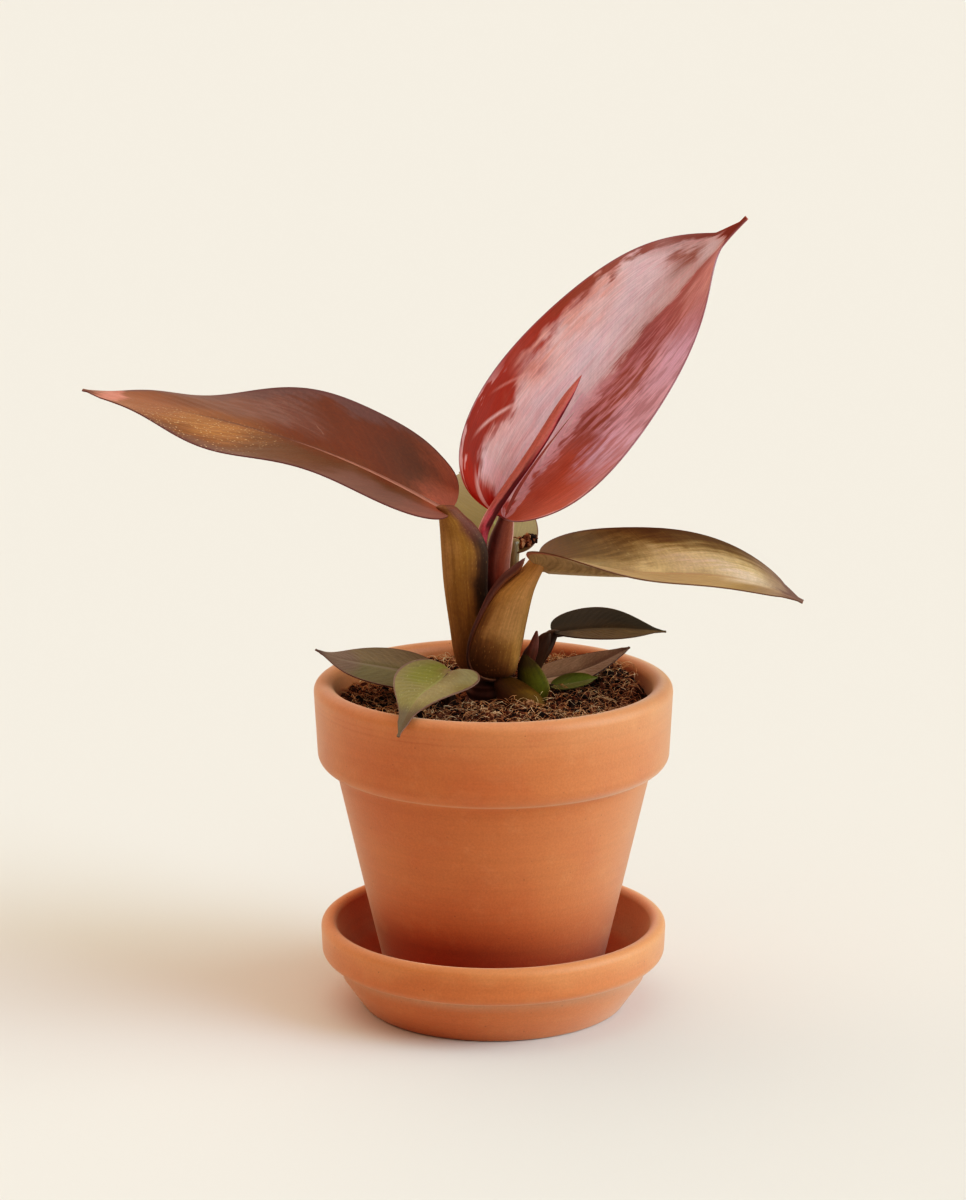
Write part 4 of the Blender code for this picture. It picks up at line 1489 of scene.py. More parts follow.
@dataclass(frozen=True)
class Studio:
    """The pale floor, the light and the camera.

    Directions are in degrees, lengths in metres, and light is as strong as a Blender sun's or world's. The
    toe says how light a dim part is printed, from shown to printed.
    """

    floor_colour: Triple = (0.825, 0.777, 0.719)
    floor_size: float = 80.0
    key_colour: Triple = (0.483, 0.654, 1.0)
    key_strength: float = 1.20
    key_side: float = 66.0
    key_height: float = 34.0
    key_width: float = 33.0
    room_colour: Triple = (0.08, 0.04, 0.03)
    glows: tuple[Glow, ...] = (
        Glow((1.08, 1.04, 0.90), (0.0, -0.139, 0.990), (0.4, 1.0)),
        Glow((3.25, 4.70, 4.55), (0.9686, -0.1361, 0.2079), (0.8, 0.97)),
        Glow((1.10, 0.85, 0.65), (-0.6, 0.75, 0.28), (0.4, 0.9)),
    )
    toe: tuple[Pair, ...] = ((0.03, 0.012), (0.08, 0.05), (0.16, 0.13), (0.3, 0.28), (0.5, 0.5))
    aim: Point = (-0.00335, 0.0, 0.13207)
    distance: float = 1.137984
    pitch: float = 13.022
    lens: float = 108.18
    film: float = 36.0

    def build(self) -> None:
        """Set up the floor, the light and the camera, and print shadows as deep as a photograph does."""
        view = bpy.context.scene.view_settings
        view.view_transform = "Standard"
        view.use_curve_mapping = True
        curve = view.curve_mapping.curves[3]
        for shown, printed in self.toe:
            curve.points.new(shown, printed)
        view.curve_mapping.update()
        self.build_floor()
        self.build_key()
        self.build_room()
        self.build_camera()

    def build_floor(self) -> None:
        """Lay the floor."""
        deselect_all()
        bpy.ops.mesh.primitive_plane_add(size=self.floor_size)
        floor = bpy.context.object
        floor.name = "floor"
        paper = Recipe(bpy.data.materials.new("floor_paper"))
        floor.data.materials.append(paper.finish((*self.floor_colour, 1.0), 0.9, Specular_IOR_Level=0.0))

    def build_key(self) -> None:
        """Hang the broad key light at the front right."""
        light = bpy.data.lights.new("key", "SUN")
        light.energy = self.key_strength
        light.color = self.key_colour
        light.angle = math.radians(self.key_width)
        key = bpy.data.objects.new("key", light)
        side, height = math.radians(self.key_side), math.radians(self.key_height)
        level = math.cos(height)
        towards = Vector((math.sin(side) * level, -math.cos(side) * level, math.sin(height)))
        key.rotation_euler = towards.to_track_quat("Z", "Y").to_euler()
        bpy.context.scene.collection.objects.link(key)

    def build_room(self) -> None:
        """Fill the room with dim light and its soft bright parts."""
        recipe = Recipe(bpy.data.worlds.new("room"))
        direction = Signal(recipe, recipe.node("ShaderNodeTexCoord").outputs["Generated"])
        light: Signal | Triple = self.room_colour
        for glow in self.glows:
            share = recipe.dot(direction, Vector(glow.towards).normalized()).rise(*glow.edge)
            light = recipe.add(light, recipe.shade(glow.colour, share))
        background = recipe.node("ShaderNodeBackground")
        recipe.feed(background.inputs["Color"], light)
        output = recipe.node("ShaderNodeOutputWorld")
        recipe.tree.links.new(background.outputs[0], output.inputs[0])
        bpy.context.scene.world = recipe.owner

    def build_camera(self) -> None:
        """Stand the camera where the photograph was taken from."""
        lens = bpy.data.cameras.new("camera")
        lens.lens = self.lens
        lens.sensor_width = self.film
        camera = bpy.data.objects.new("camera", lens)
        pitch = math.radians(self.pitch)
        camera.location = Vector(self.aim) - self.distance * Vector((0.0, math.cos(pitch), -math.sin(pitch)))
        camera.rotation_euler = (math.pi / 2 - pitch, 0.0, 0.0)
        bpy.context.scene.collection.objects.link(camera)
        bpy.context.scene.camera = camera


@dataclass(frozen=True)
class Palette:
    """The plant's finishes, leaf by leaf."""

    bronze_face: LeafFinish = LeafFinish(
        "bronze_face", (114, 56, 28),
        washes=(
            Wash((102, 62, 35), across=(LEFT, -0.05), strength=0.75),
            Wash((110, 44, 13), along=(0.10, 0.52), across=(0.02, RIGHT), strength=0.9),
            Wash((86, 50, 32), along=(0.05, 0.18), across=(0.12, 0.70), strength=0.5),
            # Painted sheen: a mauve-grey gloss midway along, towards the right margin.
            Wash((136, 92, 82), along=(0.38, 0.66), across=(0.30, 0.92), strength=0.65, streaks=0.4),
            Wash((144, 79, 38), along=(0.54, 0.90), across=(-0.9, 0.35), strength=0.75, streaks=0.2),
            Wash((184, 118, 62), along=(0.56, 0.78), across=(-0.70, -0.08), strength=0.85, streaks=0.5),
            Wash((158, 88, 54), along=(0.78, 0.92), strength=0.6),
            Wash((112, 72, 66), across=(0.86, RIGHT), soft_across=0.08, strength=0.7),
            Wash((120, 82, 70), along=(0.2, 0.75), across=(LEFT, -0.88), soft_across=0.08, strength=0.6),
            Wash((212, 126, 108), along=(0.90, 0.975), soft_along=0.02, streaks=0.3),
            Wash((110, 50, 34), along=(0.985, TIP), soft_along=0.01),
            Wash((166, 81, 55), along=(BASE, 0.07), soft_along=0.05, strength=0.85),
            Wash((132, 90, 80), along=(0.03, 0.30), across=(LEFT, -0.30), strength=0.7),
            Wash((206, 150, 130), along=(0.330, 0.332), across=(0.34, 0.50), soft_along=0.004,
                 soft_across=0.06, slant=0.10, strength=0.45),
        ),
        margin=(104, 56, 54), rib=(100, 54, 38), rib_width=1.0, streak_contrast=0.06, vein_pitch=1.6,
        speckle_size=(1.3, 0.6),
        speckles=Wash((232, 192, 146), along=(0.50, 0.86), across=(-0.96, 0.05), strength=0.95),
        coat=0.15, roughness=0.45, brush_contrast=0.05, grain_contrast=0.14,
    )
    bronze_back: LeafFinish = LeafFinish("bronze_back", (150, 92, 74), rib=(190, 120, 95), rib_width=1.6,
                                         roughness=0.5, coat=0.1)
    # The red face's pale washes paint light, a glossy sheen and highlights over its own reds. Its gain lifts
    # all its colours, the painted sheen with them, to make up for light the face lacks.
    red_face: LeafFinish = LeafFinish(
        "red_face", (178, 104, 102), gain=(1.45, 1.45, 1.45),
        washes=(
            # Painted sheen over the left half: pale pink, a paler lilac highlight, streaks that break it up,
            # and a salmon edge where it meets the deep red.
            Wash((226, 184, 184), along=(0.075, 0.92), across=(LEFT, 0.03), soft_along=0.02, soft_across=0.06,
                 strength=0.97, streaks=0.12),
            Wash((230, 198, 206), along=(0.42, 0.74), across=(-0.75, -0.12), strength=0.7, streaks=0.7),
            Wash((198, 132, 132), along=(0.08, 0.92), across=(LEFT, 0.0), strength=0.45, streaks=1.0),
            Wash((200, 128, 108), along=(0.16, 0.62), across=(LEFT, -0.50), soft_across=0.2, strength=0.7,
                 streaks=0.5),
            Wash((134, 26, 4), along=(BASE, 0.34), across=(LEFT, -0.64), soft_across=0.09, strength=0.97),
            Wash((140, 34, 10), along=(0.28, 0.52), across=(LEFT, -0.80), soft_across=0.08, strength=0.95),
            Wash((142, 34, 10), along=(0.17, 0.285), across=(-0.80, -0.56), soft_along=0.03, soft_across=0.06,
                 strength=0.9, streaks=0.2),
            # A painted highlight near the base of the left half.
            Wash((216, 168, 172), along=(0.085, 0.145), across=(-0.60, -0.2), soft_along=0.015,
                 soft_across=0.06, strength=0.8),
            Wash((170, 36, 10), along=(BASE, 0.07), across=(LEFT, 0.0), soft_along=0.025, strength=0.92),
            Wash((132, 52, 32), along=(0.40, 0.76), across=(LEFT, -0.90), soft_across=0.05, strength=0.9),
            # Crisp pale slanting lines: painted glints on the left half.
            Wash((222, 168, 160), along=(0.574, 0.586), across=(-0.80, -0.60), soft_along=0.011,
                 soft_across=0.06, slant=-0.536, strength=0.85, crisp=True),
            Wash((214, 148, 138), along=(0.690, 0.696), across=(-0.86, -0.68), soft_along=0.010,
                 soft_across=0.05, slant=-0.536, strength=0.55, crisp=True),
            Wash((222, 168, 166), along=(-0.165, -0.157), across=(-0.66, -0.30), soft_along=0.008,
                 soft_across=0.05, slant=0.36, strength=0.8, crisp=True),
            Wash((140, 70, 52), along=(0.77, 0.85), across=(-0.74, -0.28), soft_along=0.03, soft_across=0.12,
                 strength=0.85, streaks=0.3),
            Wash((125, 50, 35), along=(0.74, 0.95), across=(LEFT, -0.82), soft_across=0.08, strength=0.9),
            # A painted highlight near the tip.
            Wash((228, 196, 200), along=(0.845, 0.90), across=(-0.60, 0.0), soft_along=0.02, strength=0.7,
                 streaks=0.3),
            Wash((182, 96, 76), along=(BASE, 0.13), across=(0.04, RIGHT), strength=0.95),
            Wash((172, 80, 58), along=(0.10, 0.31), across=(0.16, 0.72), soft_along=0.06, strength=0.9),
            Wash((140, 66, 52), along=(0.29, 0.60), across=(0.08, 0.8), strength=0.9),
            Wash((142, 69, 66), along=(0.56, 0.74), across=(0.05, 0.6), strength=0.85),
            # The pale mauve washes of the right half paint its satin sheen.
            Wash((208, 164, 184), along=(0.24, 0.62), across=(0.52, 0.94), soft_across=0.12, strength=0.9,
                 streaks=0.6),
            Wash((196, 134, 142), along=(0.34, 0.72), across=(0.14, 0.85), strength=0.7, streaks=1.0),
            Wash((206, 160, 180), along=(0.48, 0.76), across=(0.66, 0.97), soft_across=0.1, strength=0.7,
                 streaks=0.5),
            Wash((167, 95, 89), along=(0.66, 0.92), across=(0.06, RIGHT), strength=0.85, streaks=0.25),
            Wash((208, 152, 148), along=(0.72, 0.88), across=(0.42, 0.95), strength=0.7, streaks=0.5),
            # A painted highlight along the midrib, and painted highlights on both margins near the base.
            Wash((212, 160, 168), along=(0.03, 0.50), across=(-0.02, 0.15), soft_across=0.04, strength=0.9,
                 streaks=0.3),
            Wash((218, 164, 162), along=(0.0, 0.22), across=(LEFT, -0.965), soft_across=0.02, strength=0.7),
            Wash((222, 176, 176), along=(0.02, 0.16), across=(0.94, RIGHT), soft_across=0.03, strength=0.7),
            Wash((138, 66, 54), along=(0.925, TIP), soft_along=0.012),
        ),
        margin=(120, 70, 78), margin_start=0.98, roughness=0.36, coat=0.3, streak_contrast=0.04,
        vein_pitch=1.0, vein_slant=0.36, relief=0.04, fray=0.40, stroke_size=(9.0, 2.0),
        stroke_leans=(-0.2, 1.2), grain_contrast=0.04, brush_contrast=0.10, brush_size=(10.0, 0.4),
    )
    red_back: LeafFinish = LeafFinish("red_back", (168, 84, 78), rib=(190, 104, 92), rib_width=1.8,
                                      roughness=0.45)
    olive_face: LeafFinish = LeafFinish(
        "olive_face", (150, 112, 58),
        washes=(
            Wash((228, 190, 136), along=(0.30, 0.88), across=(-0.62, 0.05), strength=0.85, streaks=0.2),
            Wash((188, 148, 104), along=(0.25, 0.82), across=(0.0, 0.85), strength=0.75, streaks=0.2),
            Wash((90, 54, 24), across=(LEFT, -0.74), soft_across=0.25, strength=0.85),
            Wash((94, 64, 10), along=(0.05, 0.42), across=(LEFT, -0.35), soft_along=0.12, strength=0.8),
            Wash((116, 70, 32), along=(BASE, 0.10), strength=0.8),
            Wash((204, 178, 130), along=(0.04, 0.24), across=(-0.2, 0.5), strength=0.7),
            # A painted highlight: pale pink beside the midrib.
            Wash((214, 172, 146), along=(0.50, 0.78), across=(-0.42, -0.06), strength=0.7, streaks=0.7),
            Wash((150, 112, 62), along=(0.20, 0.50), across=(-0.8, -0.3), strength=0.5, streaks=0.6),
            # A painted highlight towards the tip.
            Wash((238, 206, 184), along=(0.72, 0.88), across=(-0.35, 0.2), strength=0.6, streaks=0.3),
            Wash((168, 132, 112), along=(0.88, TIP), strength=0.7),
            Wash((120, 78, 66), along=(0.94, TIP), soft_along=0.02, strength=0.8),
        ),
        margin=(100, 62, 46), rib=(176, 132, 90), rib_width=1.2, streak_contrast=0.06, vein_pitch=1.5,
        speckles=Wash((226, 196, 130), along=(0.3, 0.85), across=(-0.7, 0.1), strength=0.4), coat=0.15,
        roughness=0.45, fray=0.4, stroke_size=(14.0, 1.6), stroke_leans=(-0.7, 0.7),
    )
    olive_back: LeafFinish = LeafFinish("olive_back", (180, 152, 116), margin=(170, 100, 90),
                                        margin_start=0.9, rib=(190, 164, 132), rib_width=1.6, roughness=0.5)
    green_face: LeafFinish = LeafFinish(
        "green_face", (126, 102, 52),
        washes=(Wash((158, 144, 95), along=(0.05, 0.6), across=(0.15, RIGHT), strength=0.8),
                Wash((120, 88, 54), along=(BASE, 0.10), strength=0.8)),
        margin=(110, 70, 55), rib=(144, 138, 78), streak_contrast=0.03, relief=0.04,
    )
    green_back: LeafFinish = LeafFinish("green_back", (118, 124, 62), rib=(150, 155, 90))
    heart_face: LeafFinish = LeafFinish(
        "heart_face", (138, 122, 73),
        washes=(
            Wash((126, 122, 48), along=(BASE, 0.36), across=(0.05, 0.75), strength=0.8),
            Wash((172, 164, 128), along=(BASE, 0.25), across=(-0.9, -0.4), strength=0.6, streaks=0.3),
            Wash((164, 144, 92), along=(0.25, 0.70), across=(-0.5, 0.2), strength=0.5, streaks=0.4),
            Wash((108, 86, 68), along=(0.74, TIP), strength=0.85),
            Wash((150, 92, 84), along=(BASE, 0.03), across=(-0.25, 0.3), strength=0.7),
        ),
        margin=(124, 88, 80), margin_start=0.93, rib=(150, 142, 84), rib_width=0.6, vein_pitch=1.4,
        streak_contrast=0.05, speckles=Wash((192, 186, 130), along=(0.05, 0.8), strength=0.45), coat=0.1,
        stroke_size=(6.0, 1.4),
    )
    small_dark: LeafFinish = SmallLeafFinish(
        "small_dark_face", (74, 55, 32),
        washes=(Wash((126, 98, 64), along=(0.15, TIP), across=(0.05, 0.85), strength=0.75, streaks=0.45),
                Wash((54, 44, 30), across=(LEFT, -0.3), strength=0.7)),
        margin=(84, 60, 50), rib=(110, 92, 70), rib_width=0.5, roughness=0.5, shine=0.25, coat=0.08,
    )
    small_purple: LeafFinish = SmallLeafFinish(
        "small_purple_face", (188, 152, 128),
        washes=(Wash((176, 138, 114), along=(BASE, 0.35), strength=0.6),
                Wash((178, 140, 120), along=(0.5, TIP), strength=0.7),
                Wash((112, 76, 62), along=(0.92, TIP))),
        margin=(96, 66, 58), rib=(132, 104, 88), rib_width=0.5,
    )
    small_grey: LeafFinish = SmallLeafFinish(
        "small_grey_face", (126, 104, 72),
        washes=(Wash((112, 102, 64), along=(BASE, 0.50), across=(LEFT, 0.1), strength=0.8),
                Wash((124, 96, 82), along=(0.5, TIP), strength=0.8),
                Wash((92, 66, 60), along=(0.9, TIP))),
        margin=(118, 84, 74), rib=(136, 116, 94), rib_width=0.6,
    )
    small_green: LeafFinish = LeafFinish(
        "small_green_face", (110, 108, 36), washes=(Wash((124, 132, 60), across=(-0.6, 0.2), strength=0.6),),
        margin=(104, 100, 56), rib=(116, 122, 56), rib_width=0.4, vein_pitch=0.6, roughness=0.4,
        streak_contrast=0.08,
    )
    small_back: LeafFinish = LeafFinish("small_back", (84, 58, 44), rib=(110, 80, 64), rib_width=0.8)
    olive_petiole: LeafFinish = SheathFinish(
        "olive_petiole", (168, 118, 60),
        washes=(
            Wash((122, 84, 36), across=(-0.12, 0.10), strength=0.6, streaks=0.6),
            Wash((180, 134, 92), across=(-0.5, -0.22), strength=0.7),
            Wash((140, 84, 50), along=(BASE, 0.12), strength=0.6),
            Wash((108, 66, 54), along=(0.46, 0.84), across=(0.16, 0.6), strength=0.9),
            # Painted shade: the right half darkens where the red stalk stands beside it.
            Wash((92, 50, 34), along=(BASE, 0.8), across=(0.32, 0.7), soft_across=0.1, strength=0.85),
            Wash((62, 38, 24), along=(BASE, 0.80), across=(0.16, 0.72), soft_across=0.09, strength=0.9),
            Wash((126, 78, 66), along=(0.66, 0.96), across=(0.06, 0.72), soft_across=0.1, strength=0.85),
            Wash((122, 68, 52), along=(0.93, TIP), strength=0.7),
        ),
        speckles=Wash((212, 166, 100), strength=0.30), roughness=0.6, shine=0.25,
    )
    sheath: LeafFinish = SheathFinish(
        "sheath", (186, 134, 78),
        washes=(
            # Painted shade on the left side; the next washes make the sheath darker towards the bottom.
            Wash((104, 64, 27), along=(BASE, 0.62), across=(LEFT, -0.02), strength=0.85, streaks=0.3),
            Wash((98, 60, 24), along=(BASE, 0.36), across=(LEFT, 0.14), soft_along=0.22, strength=0.9),
            Wash((108, 66, 30), along=(BASE, 0.20), strength=0.75),
            Wash((100, 56, 32), along=(BASE, 0.08), strength=0.8),
            # A painted highlight: a pale band up the middle right.
            Wash((214, 160, 110), along=(0.40, TIP), across=(-0.02, 0.30), strength=0.75, streaks=0.2),
            # Painted shade along the right edge.
            Wash((104, 64, 36), across=(0.40, 0.7), soft_across=0.12, strength=0.8),
        ),
        speckles=Wash((224, 176, 112), strength=0.35), roughness=0.55, shine=0.3,
    )
    maroon_wing: LeafFinish = StalkFinish(
        "maroon_wing", (128, 74, 62),
        washes=(Wash((104, 56, 34), along=(BASE, 0.45), strength=0.8),
                # A painted highlight: a pale streak near the left edge.
                Wash((196, 142, 126), across=(-0.50, -0.30), soft_across=0.06, strength=0.5, streaks=0.6),
                Wash((104, 48, 42), across=(0.25, 0.7), strength=0.7)),
        vein_pitch=1.0, roughness=0.42,
    )
    lip: LeafFinish = StalkFinish(
        "lip", (104, 58, 48),
        washes=(Wash((90, 50, 34), along=(BASE, 0.45)),
                Wash((138, 88, 48), across=(LEFT, -0.15), strength=0.8)),
        vein_pitch=1.0, roughness=0.5, coat=0.1,
    )
    red_petiole: LeafFinish = StalkFinish(
        "red_petiole", (138, 66, 48),
        # Painted shade on the left side.
        washes=(Wash((86, 38, 32), across=(-0.7, -0.12), strength=0.9),
                Wash((162, 86, 62), across=(0.02, 0.3), strength=0.7),
                # A painted highlight along the right edge near the top.
                Wash((214, 150, 132), along=(0.55, TIP), across=(0.34, 0.6), soft_across=0.06, strength=0.8)),
        vein_pitch=0.9, roughness=0.42, streak_contrast=0.1,
    )
    crimson: LeafFinish = StalkFinish(
        "crimson", (216, 84, 98),
        # A painted highlight runs up the left side.
        washes=(Wash((232, 150, 150), across=(-0.50, -0.20), soft_across=0.08, strength=0.8, streaks=0.3),
                Wash((206, 112, 94), along=(0.52, TIP), across=(LEFT, 0.20), strength=0.85),
                # Painted shade: the two dark washes paint the shaded right flank.
                Wash((118, 40, 46), across=(0.24, 0.95), soft_across=0.07),
                Wash((104, 30, 38), along=(0.34, 0.69), across=(-0.02, 0.95), soft_across=0.06)),
        vein_pitch=0.8, roughness=0.36, coat=0.35, streak_contrast=0.1,
    )
    green_sheath: LeafFinish = StalkFinish(
        "green_sheath", (132, 100, 60),
        washes=(Wash((104, 72, 44), along=(BASE, 0.3), strength=0.6),), roughness=0.5,
    )
    brown_scale: LeafFinish = StalkFinish(
        "brown_scale", (78, 43, 18), washes=(Wash((128, 82, 60), across=(-0.6, -0.1), strength=0.6),),
        roughness=0.5, coat=0.05, streak_contrast=0.1,
    )
    green_scale: LeafFinish = StalkFinish(
        "green_scale", (92, 82, 16),
        # Painted shade on the left side, behind the sheath.
        washes=(Wash((70, 50, 22), across=(LEFT, -0.30), strength=0.8),
                Wash((104, 100, 24), along=(0.2, 0.6), across=(-0.10, 0.15), soft_across=0.1, strength=0.5),
                # A painted highlight along the right side.
                Wash((140, 116, 70), across=(0.28, 0.8), soft_across=0.08, strength=0.7),
                Wash((80, 52, 30), along=(0.75, TIP), strength=0.7)),
        roughness=0.62, shine=0.1, coat=0.0, streak_contrast=0.1,
    )
    olive_scale: LeafFinish = StalkFinish(
        "olive_scale", (86, 54, 6),
        washes=(Wash((84, 46, 24), across=(LEFT, -0.12), soft_across=0.2, strength=0.9),
                Wash((130, 94, 30), along=(BASE, 0.6), across=(0.0, 0.4), strength=0.6)),
        roughness=0.6, shine=0.15, coat=0.0, streak_contrast=0.08,
    )
    stem: LeafFinish = StalkFinish("dark_stem", (104, 58, 42), roughness=0.6, coat=0.0)


